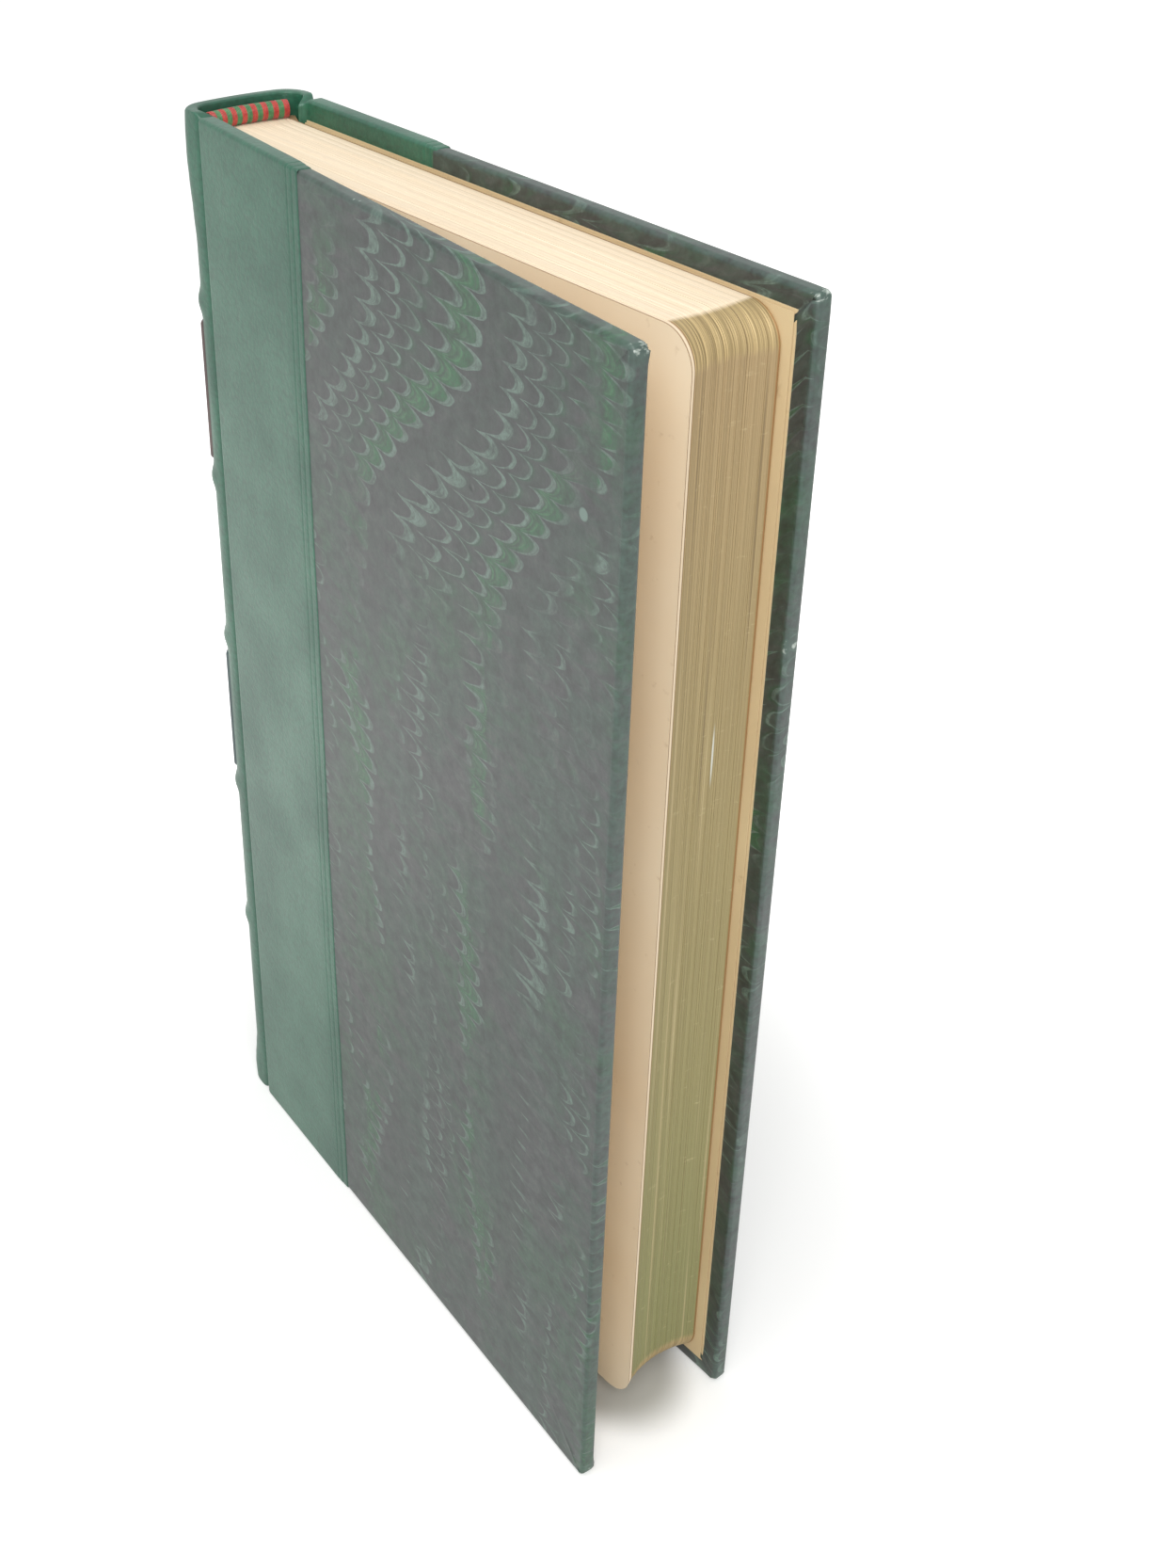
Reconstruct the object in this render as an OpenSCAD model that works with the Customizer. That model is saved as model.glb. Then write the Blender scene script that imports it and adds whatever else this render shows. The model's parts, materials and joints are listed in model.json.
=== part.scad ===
// Quarter-leather hardback book with raised bands, marbled paper sides and round-cornered gilt pages.
// It stands on its tail. The spine faces -X, the fore-edge +X and the front cover -Y.
// Lengths are in millimetres and angles in degrees.

/* [Boards] */
// Height of the covered boards
board_h = 225; // [150:1:320]
// Depth of a covered board, from the joint to the fore-edge
board_w = 126.5; // [90:0.5:220]
// Thickness of the bare millboard
millboard_t = 2.5; // [1.6:0.1:4]
// Free space between a board and the spine at the joint
joint_gap = 0.4; // [0.3:0.05:0.8]
// Rounding of a board's edge along the joint
joint_round = 1.3; // [0.4:0.1:1.8]
// Angle at which the front cover stands open
front_open = 5.6; // [1:0.1:20]
// Angle at which the back cover stands open
back_open = 0; // [0:0.1:20]

/* [Covering] */
// Thickness of the leather on the boards
side_leather_t = 0.6; // [0.4:0.05:1]
// Width of the leather on the front board
front_leather_w = 36.5; // [20:0.5:60]
// Width of the leather on the back board
back_leather_w = 39.5; // [20:0.5:60]
// Thickness of the marbled paper, and of the leather where it is pared and turned in
paper_t = 0.25; // [0.1:0.05:0.4]
// Width of the turn-ins inside the boards
turn_in_w = 15; // [8:0.5:22]
// Rounding of the covered edges
edge_round = 0.7; // [0.3:0.05:1]
// Width of the slit where two turn-ins meet at a corner
mitre_slit = 0.12; // [0.05:0.01:0.4]

/* [Endpapers] */
// Thickness of the pasted half of an endpaper
pastedown_t = 0.2; // [0.1:0.05:0.4]
// Thickness of the free leaf of an endpaper
free_leaf_t = 0.15; // [0.1:0.05:0.3]
// Bare margin round the pasted half, inside a board's edges
pastedown_margin = 3.7; // [2:0.1:8]
// How much smaller the free leaf is than the pasted half, at each edge
free_leaf_inset = 0.4; // [0:0.1:2]
// Space between the two halves of an endpaper
free_leaf_gap = 0.15; // [0.1:0.05:0.4]

/* [Pages] */
// Thickness of the pages at the spine
block_t = 16.4; // [8:0.2:60]
// How far the boards stand out beyond the pages at head and tail
square = 4; // [2.5:0.1:8]
// How far the boards stand out beyond the pages at the fore-edge
fore_square = 5.75; // [3:0.25:10]
// Radius of the rounded page corners
page_corner_r = 6.2; // [2:0.2:15]
// Depth of the hollow in the fore-edge
fore_hollow = 2; // [0.5:0.1:4]
// Angle by which each outer face of the pages fans out
page_fan = 0.25; // [0:0.05:0.6]
// Free space between the pages and a closed cover
page_gap = 1.15; // [1:0.05:2]
// Depth of the backed shoulders, beside the boards
shoulder_depth = 4.2; // [3:0.1:7]
// Roundness of the spine across the shoulders
spine_round = 1; // [0.6:0.1:4]

/* [Spine] */
// Thickness of the cloth and paper lining on the spine
lining_t = 0.5; // [0.2:0.05:1]
// Thickness of each wall of the paper hollow
hollow_wall_t = 0.3; // [0.15:0.05:0.5]
// Free space inside the paper hollow
hollow_gap = 0.3; // [0.2:0.05:0.8]
// Thickness of the leather on the spine
spine_leather_t = 1; // [0.6:0.05:1.4]
// How far the spine leather lies inside the outer faces of the boards
joint_drop = 0.6; // [0.3:0.05:1]
// Radius where the leather turns over a shoulder
shoulder_r = 5; // [3.5:0.1:5.5]
// Radius of the spine's back, seen from the head
back_r = 66; // [40:1:120]
// Free space round pieces that the spine holds
fit_gap = 0.05; // [0.03:0.01:0.1]

/* [Raised bands] */
// Number of raised bands
band_count = 5; // [2:1:7]
// Height of the lowest band above the tail
first_band_z = 48.6; // [40:0.2:60]
// Distance from one band to the next
band_pitch = 35.4; // [20:0.1:45]
// How far a band stands out
band_h = 0.6; // [0.3:0.1:2.4]
// Width of a band at its foot
band_w = 7.2; // [4:0.2:9]

/* [Head and tail caps] */
// How far the leather caps stand above the boards at the head
cap_rise = 0.3; // [0:0.05:1]
// How far a cap flares out from the spine
cap_flare = 0.7; // [0.3:0.1:2.5]
// Height over which the head cap flares
head_cap_h = 24; // [9:0.5:28]
// Height over which the tail cap flares
tail_cap_h = 14; // [9:0.5:28]

/* [Endbands] */
// Height of an endband, silk included
endband_h = 3.3; // [2:0.1:3.6]
// Depth of an endband, silk included
endband_d = 2.8; // [1.8:0.1:3.4]
// Thickness of the silk wound on the core
silk_t = 0.35; // [0.2:0.05:0.6]
// Width of one wound stripe of silk
stripe_w = 1.1; // [0.6:0.05:2]

/* [Labels] */
// Thickness of a leather label
label_t = 0.5; // [0.2:0.05:0.8]
// Space between a label and the bands above and below it
label_clear = 0.3; // [0.1:0.05:2]
// The bands that the two labels sit above, counted from the tail
label_bands = [2, 4];

/* [Hidden] */
$fn = 96;
eps = 0.01;

// Layers of a cover, measured inwards from its outer face
core_v = side_leather_t;
face_v = core_v - paper_t;
turn_v = core_v + millboard_t;
pastedown_v = turn_v + paper_t;
cover_t = pastedown_v + pastedown_t;
leaf_v = cover_t + free_leaf_gap;
cover_u = joint_gap / 2;
core_u = cover_u + side_leather_t;
core_end_u = board_w - paper_t;
paper_z = side_leather_t - paper_t;

// The pages and the joints, measured from the middle plane of the spine
joint_y = block_t / 2 + page_gap + cover_t;
block_w = board_w - fore_square;
block_h = board_h - 2 * square;
fore_half_t = block_t / 2 + block_w * tan(page_fan);
fore_r = (fore_half_t * fore_half_t + fore_hollow * fore_hollow) / (2 * fore_hollow);

// The leather's line round the spine: two shoulders joined by a shallow arc
spine_half_w = joint_y - joint_drop;
page_apex = shoulder_depth + spine_round;
hollow_t = 2 * hollow_wall_t + hollow_gap;
spine_depth = page_apex + lining_t + hollow_t + 2 * fit_gap + spine_leather_t;
shoulder_y = spine_half_w - shoulder_r;
back_x = back_r - spine_depth;
shoulder_x = back_x - sqrt(pow(back_r - shoulder_r, 2) - shoulder_y * shoulder_y);
back_angle = asin(shoulder_y / (back_r - shoulder_r));

// The spine of the pages, rounded and backed into shoulders
shoulder_clear = 1.1;
page_shoulder_y = spine_half_w - spine_leather_t - shoulder_clear;
page_r = (page_shoulder_y * page_shoulder_y + spine_round * spine_round) / (2 * spine_round);
page_x = page_r - page_apex;
lining_lap = 0.9;
lining_half_w = block_t / 2 + lining_lap;
hollow_half_w = block_t / 2;

// Bands, caps and labels on the leather. A margin counts the stations left bare at each joint.
band_z = [for (k = [0 : band_count - 1]) first_band_z + k * band_pitch];
band_reach = [-1, -0.6, -0.3, 0, 0.3, 0.6, 1];
core_share = 0.66;
fade_angle = 38;
label_margin = 3;
band_margin = 4;
endband_lap = 0.4;
endband_clear = 0.2;
endband_r = page_r + endband_lap - endband_d / 2;
cap_t = spine_depth - page_apex - endband_lap - endband_clear;
cap_edge = 0.6;
cap_rolls = [0.1, 0.5];
hollow_z = square + cap_edge + fit_gap;
stripe_count = 2 * round((block_t / stripe_w - 1) / 2) + 1;
endband_angle = asin(block_t / 2 / endband_r);

// The middle of the book's footprint, which is the origin
x_low = -(spine_depth + max(band_h, cap_flare, label_t));
function cover_length(a) =
    edge_round + (board_w - edge_round) * cos(a) + (pastedown_v - edge_round) * sin(a);
function cover_reach(a, leather_w) = joint_y + max(
    leather_w * sin(a),
    edge_round + (board_w - edge_round) * sin(a) - (face_v + edge_round) * cos(a)
);
x_high = max(cover_length(front_open), cover_length(back_open));
y_low = -cover_reach(front_open, front_leather_w);
y_high = cover_reach(back_open, back_leather_w);
mid_x = (x_low + x_high) / 2;
mid_y = (y_low + y_high) / 2;

LEATHER = [0.27, 0.43, 0.36];
MARBLED = [0.31, 0.35, 0.33];
CREAM = [0.93, 0.85, 0.71];
MILLBOARD = [0.62, 0.57, 0.48];

// Frames: where each group of pieces sits in the book

module on_spine() {
    translate([-mid_x, -mid_y, 0])
        children();
}

module on_front() {
    on_spine()
        translate([0, -joint_y, 0])
            rotate([0, 0, -front_open])
                children();
}

module on_back() {
    on_spine()
        mirror([0, 1, 0])
            translate([0, -joint_y, 0])
                rotate([0, 0, -back_open])
                    children();
}

// Shared shapes

module rounded_rect(low, high, r) {
    translate(low + [r, 0])
        square(high - low - [2 * r, 0]);
    translate(low + [0, r])
        square(high - low - [0, 2 * r]);
    for (x = [low.x + r, high.x - r], y = [low.y + r, high.y - r])
        translate([x, y])
            circle(r);
}

// A slab along a cover, from its section across the thickness and the height
module along_cover(u_low, u_high) {
    translate([u_low, 0, 0])
        rotate([90, 0, 90])
            linear_extrude(u_high - u_low)
                children();
}

module cover_box(u, v, z) {
    translate([u[0], v[0], z[0]])
        cube([u[1] - u[0], v[1] - v[0], z[1] - z[0]]);
}

// A ring sector that follows the rounded spine of the pages
module spine_shell(r_in, r_out, half_w, z_low, z_high) {
    translate([page_x, 0, z_low])
        linear_extrude(z_high - z_low)
            intersection() {
                difference() {
                    circle(r_out, $fn = 360);
                    circle(r_in, $fn = 360);
                }
                translate([-r_out - 1, -half_w])
                    square([r_out, 2 * half_w]);
            }
}

// Pages

module page_outline() {
    wide_y = 2 * page_shoulder_y - block_t / 2;
    difference() {
        polygon([
            [0, -block_t / 2], [block_w, -fore_half_t], [block_w, fore_half_t], [0, block_t / 2],
        ]);
        translate([block_w - fore_hollow + fore_r, 0])
            circle(fore_r, $fn = 360);
    }
    intersection() {
        polygon([
            [0, -block_t / 2], [0, block_t / 2],
            [-2 * shoulder_depth, wide_y], [-2 * shoulder_depth, -wide_y],
        ]);
        translate([page_x, 0])
            circle(page_r, $fn = 360);
    }
}

module text_block() {
    color(CREAM)
        on_spine()
            intersection() {
                translate([0, 0, square])
                    linear_extrude(block_h)
                        page_outline();
                translate([0, joint_y, 0])
                    rotate([90, 0, 0])
                        linear_extrude(2 * joint_y)
                            rounded_rect(
                                [-page_apex - page_corner_r, square],
                                [block_w, board_h - square],
                                page_corner_r
                            );
            }
}

module spine_lining() {
    color([0.9, 0.88, 0.8])
        on_spine()
            spine_shell(page_r + fit_gap / 2, page_r + lining_t, lining_half_w, square, board_h - square);
}

module paper_hollow() {
    inner_r = page_r + lining_t + fit_gap / 2;
    outer_r = page_r + lining_t + hollow_t;
    color([0.66, 0.52, 0.36])
        on_spine()
            difference() {
                spine_shell(inner_r, outer_r, hollow_half_w, hollow_z, board_h - hollow_z);
                spine_shell(
                    inner_r + hollow_wall_t, outer_r - hollow_wall_t,
                    hollow_half_w - hollow_wall_t, 0, board_h
                );
            }
}

// Spine leather: two rails through bands and caps, swept round the spine and joined.
// A rail's point is [offset, bulge, height]. The bulge fades out towards the joints.

function smooth(t) = let (s = min(1, max(0, t))) s * s * (3 - 2 * s);
function fade(a) = smooth(min(270 - a, a - 90) / fade_angle);
function station(x, y, a) = [x, y, cos(a), sin(a), fade(a)];
function arc_stations(cx, cy, r, from, to, steps, skip) = [
    for (k = [skip : steps - skip]) let (a = from + (to - from) * k / steps)
        station(cx + r * cos(a), cy + r * sin(a), a)
];
spine_line = concat(
    [station(-cover_u, -spine_half_w, 270)],
    arc_stations(shoulder_x, -shoulder_y, shoulder_r, 270, 180 + back_angle, 6, 0),
    arc_stations(back_x, 0, back_r, 180 + back_angle, 180 - back_angle, 6, 1),
    arc_stations(shoulder_x, shoulder_y, shoulder_r, 180 - back_angle, 90, 6, 0),
    [station(-cover_u, spine_half_w, 90)]
);
last_station = len(spine_line) - 1;
function skin_point(s, p) = [
    s[0] + s[2] * (p[0] + p[1] * s[4]), s[1] + s[3] * (p[0] + p[1] * s[4]), p[2],
];
function bulge(t) = band_h * (1 + cos(180 * t)) / 2;
function band_points(offset, reach) = [
    for (z = band_z, t = reach) [offset, bulge(t), z + t * band_w / 2]
];
function turned(points) = [for (k = [len(points) - 1 : -1 : 0]) points[k]];
function quad(a, b, c, d) = [[a, b, c], [a, c, d]];

// Both rails run from tail to head and have as many points
module swept_skin(outer, inner, from, to) {
    rail = len(outer);
    loop = 2 * rail;
    rings = to - from;
    section = concat(outer, turned(inner));
    points = [for (k = [from : to], p = section) skin_point(spine_line[k], p)];
    walls = [
        for (i = [0 : rings - 1], j = [0 : loop - 1])
            let (a = i * loop + j, b = i * loop + (j + 1) % loop)
                each quad(a, a + loop, b + loop, b)
    ];
    first_end = [for (j = [0 : rail - 2]) each quad(j, j + 1, loop - 2 - j, loop - 1 - j)];
    second_end = [for (f = first_end) [for (k = [2 : -1 : 0]) f[k] + rings * loop]];
    polyhedron(points, concat(walls, first_end, second_end), convexity = 8);
}

// The outer and the inner rail of a cap, as [offset, share of the flare, distance from the end]
function cap_outer(h) = [
    [0, 0, h],
    [0, 0.37, 0.76 * h],
    [0, 0.8, 0.52 * h],
    [0, 1, 0.36 * h],
    [-cap_rolls[0], 0.75, cap_edge],
    [-cap_rolls[1], 0.5, 0],
];
function cap_inner(h) = [
    [-spine_leather_t, 0, h],
    [-spine_leather_t, 0, square + cap_edge],
    [-cap_t, 0, square - endband_clear],
    [-cap_t, 0, square / 2],
    [-cap_t, 0, cap_edge],
    [cap_rolls[1] - cap_t, 0, 0],
];
function tail_cap(rail) = [for (p = turned(rail)) [p[0], p[1] * cap_flare, p[2]]];
function head_cap(rail) = [for (p = rail) [p[0], p[1] * cap_flare, board_h + cap_rise - p[2]]];

module spine_leather() {
    tail = tail_cap_h;
    head = head_cap_h;
    outer = concat(tail_cap(cap_outer(tail)), band_points(0, band_reach), head_cap(cap_outer(head)));
    inner = concat(
        tail_cap(cap_inner(tail)),
        band_points(-spine_leather_t, band_reach),
        head_cap(cap_inner(head))
    );
    color(LEATHER)
        on_spine()
            swept_skin(outer, inner, 0, last_station);
}

// The core under a raised band, between the hollow and the leather
module raised_band(k) {
    base = -spine_leather_t - fit_gap;
    height = function(t) band_z[k - 1] + t * band_w / 2;
    color([0.55, 0.42, 0.3])
        on_spine()
            swept_skin(
                [for (t = band_reach) [base, bulge(core_share * t), height(core_share * t)]],
                [for (t = band_reach) [base, 0, height(core_share * t)]],
                band_margin, last_station - band_margin
            );
}

module spine_label(band, colour) {
    z_low = band_z[band - 1] + band_w / 2 + label_clear;
    z_high = band_z[band] - band_w / 2 - label_clear;
    color(colour)
        on_spine()
            swept_skin(
                [for (z = [z_low, z_high]) [label_t, 0, z]],
                [for (z = [z_low, z_high]) [eps, 0, z]],
                label_margin, last_station - label_margin
            );
}

// Endbands: silk stripes wound on a core that follows the rounded spine

module endband_section(h, d) {
    translate([-d / 2, -(h - d) / 2])
        square([d, h - d]);
    for (side = [-1, 1])
        translate([0, side * (h - d) / 2])
            circle(d / 2);
}

module along_endband(z, from, to) {
    on_spine()
        translate([page_x, 0, z])
            rotate([0, 0, 180 + from])
                rotate_extrude(angle = to - from, $fn = 360)
                    translate([endband_r, 0])
                        children();
}

module endband_core(z) {
    color([0.8, 0.74, 0.6])
        along_endband(z, -endband_angle, endband_angle)
            endband_section(endband_h - 2 * silk_t - fit_gap, endband_d - 2 * silk_t - fit_gap);
}

// Stripes are counted from the front; the first and the last are red
module endband_silk(z, first, colour) {
    step = 2 * endband_angle / stripe_count;
    color(colour)
        for (k = [first : 2 : stripe_count - 1])
            along_endband(z, -endband_angle + k * step, -endband_angle + (k + 1) * step)
                difference() {
                    endband_section(endband_h, endband_d);
                    endband_section(endband_h - 2 * silk_t, endband_d - 2 * silk_t);
                }
}

head_endband_z = board_h - square + endband_h / 2;
tail_endband_z = square - endband_h / 2;
RED_SILK = [0.75, 0.2, 0.17];
GREEN_SILK = [0.2, 0.42, 0.22];

// Covers, in a cover's own frame: u along +X from the joint, v inwards along +Y, z up

module board() {
    color(MILLBOARD)
        cover_box([core_u, core_end_u], [core_v, turn_v], [side_leather_t, board_h - side_leather_t]);
}

// The part of a covering that lies on the board's inside, apart from the turn-ins
module inner_window(u_low, u_high) {
    cover_box([u_low, u_high], [turn_v, pastedown_v + 1], [turn_in_w, board_h - turn_in_w]);
}

module cover_leather(width) {
    color(LEATHER)
        difference() {
            intersection() {
                along_cover(cover_u, width)
                    rounded_rect([0, 0], [pastedown_v, board_h], edge_round);
                linear_extrude(board_h) {
                    translate([cover_u + joint_round, 0])
                        square([width, pastedown_v]);
                    translate([cover_u, joint_round])
                        square([width, pastedown_v - joint_round]);
                    translate([cover_u + joint_round, joint_round])
                        circle(joint_round);
                }
            }
            cover_box([core_u, width + 1], [core_v, turn_v], [side_leather_t, board_h - side_leather_t]);
            inner_window(core_u, width + 1);
        }
}

// The slit of a mitred corner, along the diagonal of the corner's turn-ins
module mitre() {
    reach = turn_in_w * sqrt(2);
    translate([-turn_in_w, turn_v, 0])
        rotate([0, 45, 0])
            translate([0, 0, -mitre_slit / 2])
                cube([reach, paper_t + 1, mitre_slit]);
}

module cover_paper(leather_width) {
    color(MARBLED)
        difference() {
            intersection() {
                along_cover(leather_width, board_w)
                    rounded_rect([face_v, paper_z], [pastedown_v, board_h - paper_z], edge_round);
                translate([0, 0, paper_z])
                    linear_extrude(board_h - 2 * paper_z)
                        rounded_rect([leather_width - 2 * edge_round, face_v], [board_w, pastedown_v], edge_round);
            }
            cover_box([core_u, core_end_u], [core_v, turn_v], [side_leather_t, board_h - side_leather_t]);
            inner_window(core_u, board_w - turn_in_w);
            translate([board_w, 0, paper_z])
                mitre();
            translate([board_w, 0, board_h - paper_z])
                mirror([0, 0, 1])
                    mitre();
        }
}

// The card that fills the inside of a board level with the turn-ins
module infill() {
    color([0.8, 0.77, 0.7])
        cover_box(
            [core_u, board_w - turn_in_w - fit_gap], [turn_v, pastedown_v],
            [turn_in_w + fit_gap, board_h - turn_in_w - fit_gap]
        );
}

// One folded sheet: the half that is pasted down, the fold at the joint and the free leaf
module endpaper() {
    pasted_end = board_w - pastedown_margin;
    leaf_end = pasted_end - free_leaf_inset;
    leaf_z = pastedown_margin + free_leaf_inset;
    color(CREAM) {
        cover_box([core_u, pasted_end], [pastedown_v, cover_t], [pastedown_margin, board_h - pastedown_margin]);
        cover_box([core_u, leaf_end], [leaf_v, leaf_v + free_leaf_t], [leaf_z, board_h - leaf_z]);
        cover_box([core_u, core_u + free_leaf_t], [pastedown_v, leaf_v + free_leaf_t], [leaf_z, board_h - leaf_z]);
    }
}

text_block();
spine_lining();
paper_hollow();
spine_leather();
raised_band(1);  // raised_band_1
raised_band(2);  // raised_band_2
raised_band(3);  // raised_band_3
raised_band(4);  // raised_band_4
raised_band(5);  // raised_band_5
endband_core(head_endband_z);  // head_endband_core
endband_silk(head_endband_z, 0, RED_SILK);  // head_endband_red_silk
endband_silk(head_endband_z, 1, GREEN_SILK);  // head_endband_green_silk
endband_core(tail_endband_z);  // tail_endband_core
endband_silk(tail_endband_z, 0, RED_SILK);  // tail_endband_red_silk
endband_silk(tail_endband_z, 1, GREEN_SILK);  // tail_endband_green_silk
spine_label(label_bands[0], [0.14, 0.25, 0.27]);  // lower_label
spine_label(label_bands[1], [0.36, 0.24, 0.24]);  // upper_label
on_front() board();  // front_board
on_front() cover_leather(front_leather_w);  // front_leather
on_front() cover_paper(front_leather_w);  // front_marbled_paper
on_front() infill();  // front_infill
on_front() endpaper();  // front_endpaper
on_back() board();  // back_board
on_back() cover_leather(back_leather_w);  // back_leather
on_back() cover_paper(back_leather_w);  // back_marbled_paper
on_back() infill();  // back_infill
on_back() endpaper();  // back_endpaper
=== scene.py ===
# %% [markdown]
# # A quarter-leather hardback book
# The book stands on its tail with its front cover a few degrees open. The solids that carry and hinge
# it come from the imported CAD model. This script dresses them: goatskin, combed marbled paper, old gold
# on the fore-edge, silk endbands. It loads the model first, so that every piece is made in its frame.

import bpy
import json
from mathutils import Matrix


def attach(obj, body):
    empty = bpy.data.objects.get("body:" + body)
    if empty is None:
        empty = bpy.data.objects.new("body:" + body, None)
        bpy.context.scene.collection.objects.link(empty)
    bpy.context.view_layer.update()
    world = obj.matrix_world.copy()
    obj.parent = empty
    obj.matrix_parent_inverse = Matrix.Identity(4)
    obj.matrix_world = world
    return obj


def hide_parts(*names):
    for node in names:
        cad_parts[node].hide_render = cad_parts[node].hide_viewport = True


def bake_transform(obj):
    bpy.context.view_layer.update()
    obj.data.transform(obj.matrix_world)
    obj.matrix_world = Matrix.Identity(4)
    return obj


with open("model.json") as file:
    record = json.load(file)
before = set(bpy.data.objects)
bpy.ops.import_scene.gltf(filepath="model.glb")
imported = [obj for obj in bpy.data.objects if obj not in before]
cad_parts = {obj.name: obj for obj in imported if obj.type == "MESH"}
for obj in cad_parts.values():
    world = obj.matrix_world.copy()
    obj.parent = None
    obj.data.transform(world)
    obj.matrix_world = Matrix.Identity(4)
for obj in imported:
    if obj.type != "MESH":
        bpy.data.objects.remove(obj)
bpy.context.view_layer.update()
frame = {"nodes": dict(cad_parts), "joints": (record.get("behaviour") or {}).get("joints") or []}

# %% Modules
import json
import math
import random

import bpy
from mathutils import Matrix, Vector

# %% [markdown]
# ## The book's own frame
# A binder measures from the joints, where the boards meet the spine, and from the middle of the
# spine's width. The two hinges of the model lie on the joints, so they give that frame without any
# fitting. Sizes below are in millimetres, and three small functions turn them into places in the model.

# %% Frames of the spine and of the two covers
MM = 0.001
hinges = {joint["child"]: joint for joint in frame["joints"]}
front_hinge = hinges["front_cover"]["pos_m"]
back_hinge = hinges["back_cover"]["pos_m"]
JOINT_X = front_hinge[0] / MM
MIDDLE_Y = (front_hinge[1] + back_hinge[1]) / 2 / MM
JOINT_Y = (back_hinge[1] - front_hinge[1]) / 2 / MM
FRONT_OPEN = math.radians(-hinges["front_cover"]["range_deg"][0])


def spine_point(x, y, z):
    """A point of the spine or the pages: x from the joints, y from the middle, z from the tail."""
    return Vector(((x + JOINT_X) * MM, (y + MIDDLE_Y) * MM, z * MM))


def front_point(u, v, z):
    """A point of the front cover: u from the joint, v inwards from its outer face."""
    x = u * math.cos(FRONT_OPEN) + v * math.sin(FRONT_OPEN)
    y = -JOINT_Y - u * math.sin(FRONT_OPEN) + v * math.cos(FRONT_OPEN)
    return spine_point(x, y, z)


def back_point(u, v, z):
    """The same for the back cover, which is closed."""
    return spine_point(u, JOINT_Y - v, z)


cover_point = {"front": front_point, "back": back_point}
print(f"joints {2 * JOINT_Y:.1f} mm apart, front cover open {math.degrees(FRONT_OPEN):.1f} degrees")

# %% [markdown]
# ## Colours and nodes
# Colours are written as a painter picks them, in sRGB hex, and Blender calculates in linear light.
# One function converts them. Another adds a node with its settings and its links in one line, which
# keeps each material readable as a list of steps. Inputs are given by name, or in the node's own order:
# a noise takes its place, scale, detail and roughness. The step that comes most often lays one colour
# over another wherever some source, such as a noise, is strong, so it has a function too.

# %% Helpers for colours and nodes
MATH, VECTOR, RANGE, MIX = "ShaderNodeMath", "ShaderNodeVectorMath", "ShaderNodeMapRange", "ShaderNodeMix"
NOISE, MAPPING, BUMP = "ShaderNodeTexNoise", "ShaderNodeMapping", "ShaderNodeBump"
SMOOTH = {"interpolation_type": "SMOOTHSTEP"}


def linear(code):
    """An sRGB hex colour as linear red, green, blue and alpha."""
    parts = [int(code[k : k + 2], 16) / 255 for k in (1, 3, 5)]
    return [c / 12.92 if c <= 0.04045 else ((c + 0.055) / 1.055) ** 2.4 for c in parts] + [1.0]


def in_use(sockets):
    """The sockets that a node has in use with its present settings."""
    return [socket for socket in sockets if socket.enabled]


def connect(tree, node, inputs):
    """Gives a node its inputs, in order or by name: values, hex colours, outputs, or whole nodes."""
    pairs = inputs.items() if isinstance(inputs, dict) else zip(in_use(node.inputs), inputs)
    for key, value in pairs:
        socket = node.inputs[key] if isinstance(key, str) else key
        if isinstance(value, bpy.types.Node):
            value = in_use(value.outputs)[0]
        if isinstance(value, bpy.types.NodeSocket):
            tree.links.new(value, socket)
        else:
            socket.default_value = linear(value) if isinstance(value, str) else value


def add(tree, kind, inputs=(), **settings):
    """Adds a node with its settings and its inputs."""
    node = tree.nodes.new(kind)
    for name, value in settings.items():
        setattr(node, name, value)
    connect(tree, node, inputs)
    return node


def stain(tree, colour, source, low, high, most, code, **settings):
    """Lays a colour over another: none of it where the source is at low, the share most at high."""
    share = add(tree, RANGE, [source, low, high, 0.0, most], **settings)
    return add(tree, MIX, [share, colour, code], data_type="RGBA")


def finish_surface(tree, shader, colour, relief, strength, height, **more):
    """Gives the shader its colour, its relief of a height in millimetres, and anything more."""
    bump = add(tree, BUMP, {"Height": relief, "Strength": strength, "Distance": height * MM})
    connect(tree, shader, {"Base Color": colour, "Normal": bump, **more})


def in_millimetres(tree, origin=(0, 0, 0)):
    """Places in space in millimetres, from which each pattern takes its real size."""
    here = add(tree, "ShaderNodeTexCoord").outputs["Object"]
    return add(tree, MAPPING, {"Vector": here, "Location": origin, "Scale": (1 / MM,) * 3})


def new_material(name, roughness, **shader):
    """A material with its shader node. The shader's plain numbers are set on its own sockets."""
    material = bpy.data.materials.new(name)
    material.use_nodes = True
    principled = material.node_tree.nodes["Principled BSDF"]
    principled.inputs["Roughness"].default_value = roughness
    for socket, value in shader.items():
        principled.inputs[socket.replace("_", " ")].default_value = value
    return material, material.node_tree, principled


# %% Helpers for meshes


def new_piece(name, points, faces, material, smooth=True):
    """An object at the origin whose place is in its mesh."""
    mesh = bpy.data.meshes.new(name)
    mesh.from_pydata(points, [], faces)
    mesh.polygons.foreach_set("use_smooth", [smooth] * len(mesh.polygons))
    mesh.materials.append(material)
    piece = bpy.data.objects.new(name, mesh)
    bpy.context.scene.collection.objects.link(piece)
    print(name, len(faces), "faces")
    return piece


def between_lines(lines, n, turned=True):
    """Faces between neighbouring lines of n points each, seen from one side or turned to the other."""
    faces = []
    for a in (i * n + j for i in range(lines - 1) for j in range(n - 1)):
        b = a + n
        faces.append((a, a + 1, b + 1, b) if turned else (a, b, b + 1, a + 1))
    return faces


def ease(t):
    """0 up to 0, 1 from 1, and a soft step between."""
    t = min(1.0, max(0.0, t))
    return t * t * (3 - 2 * t)


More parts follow.
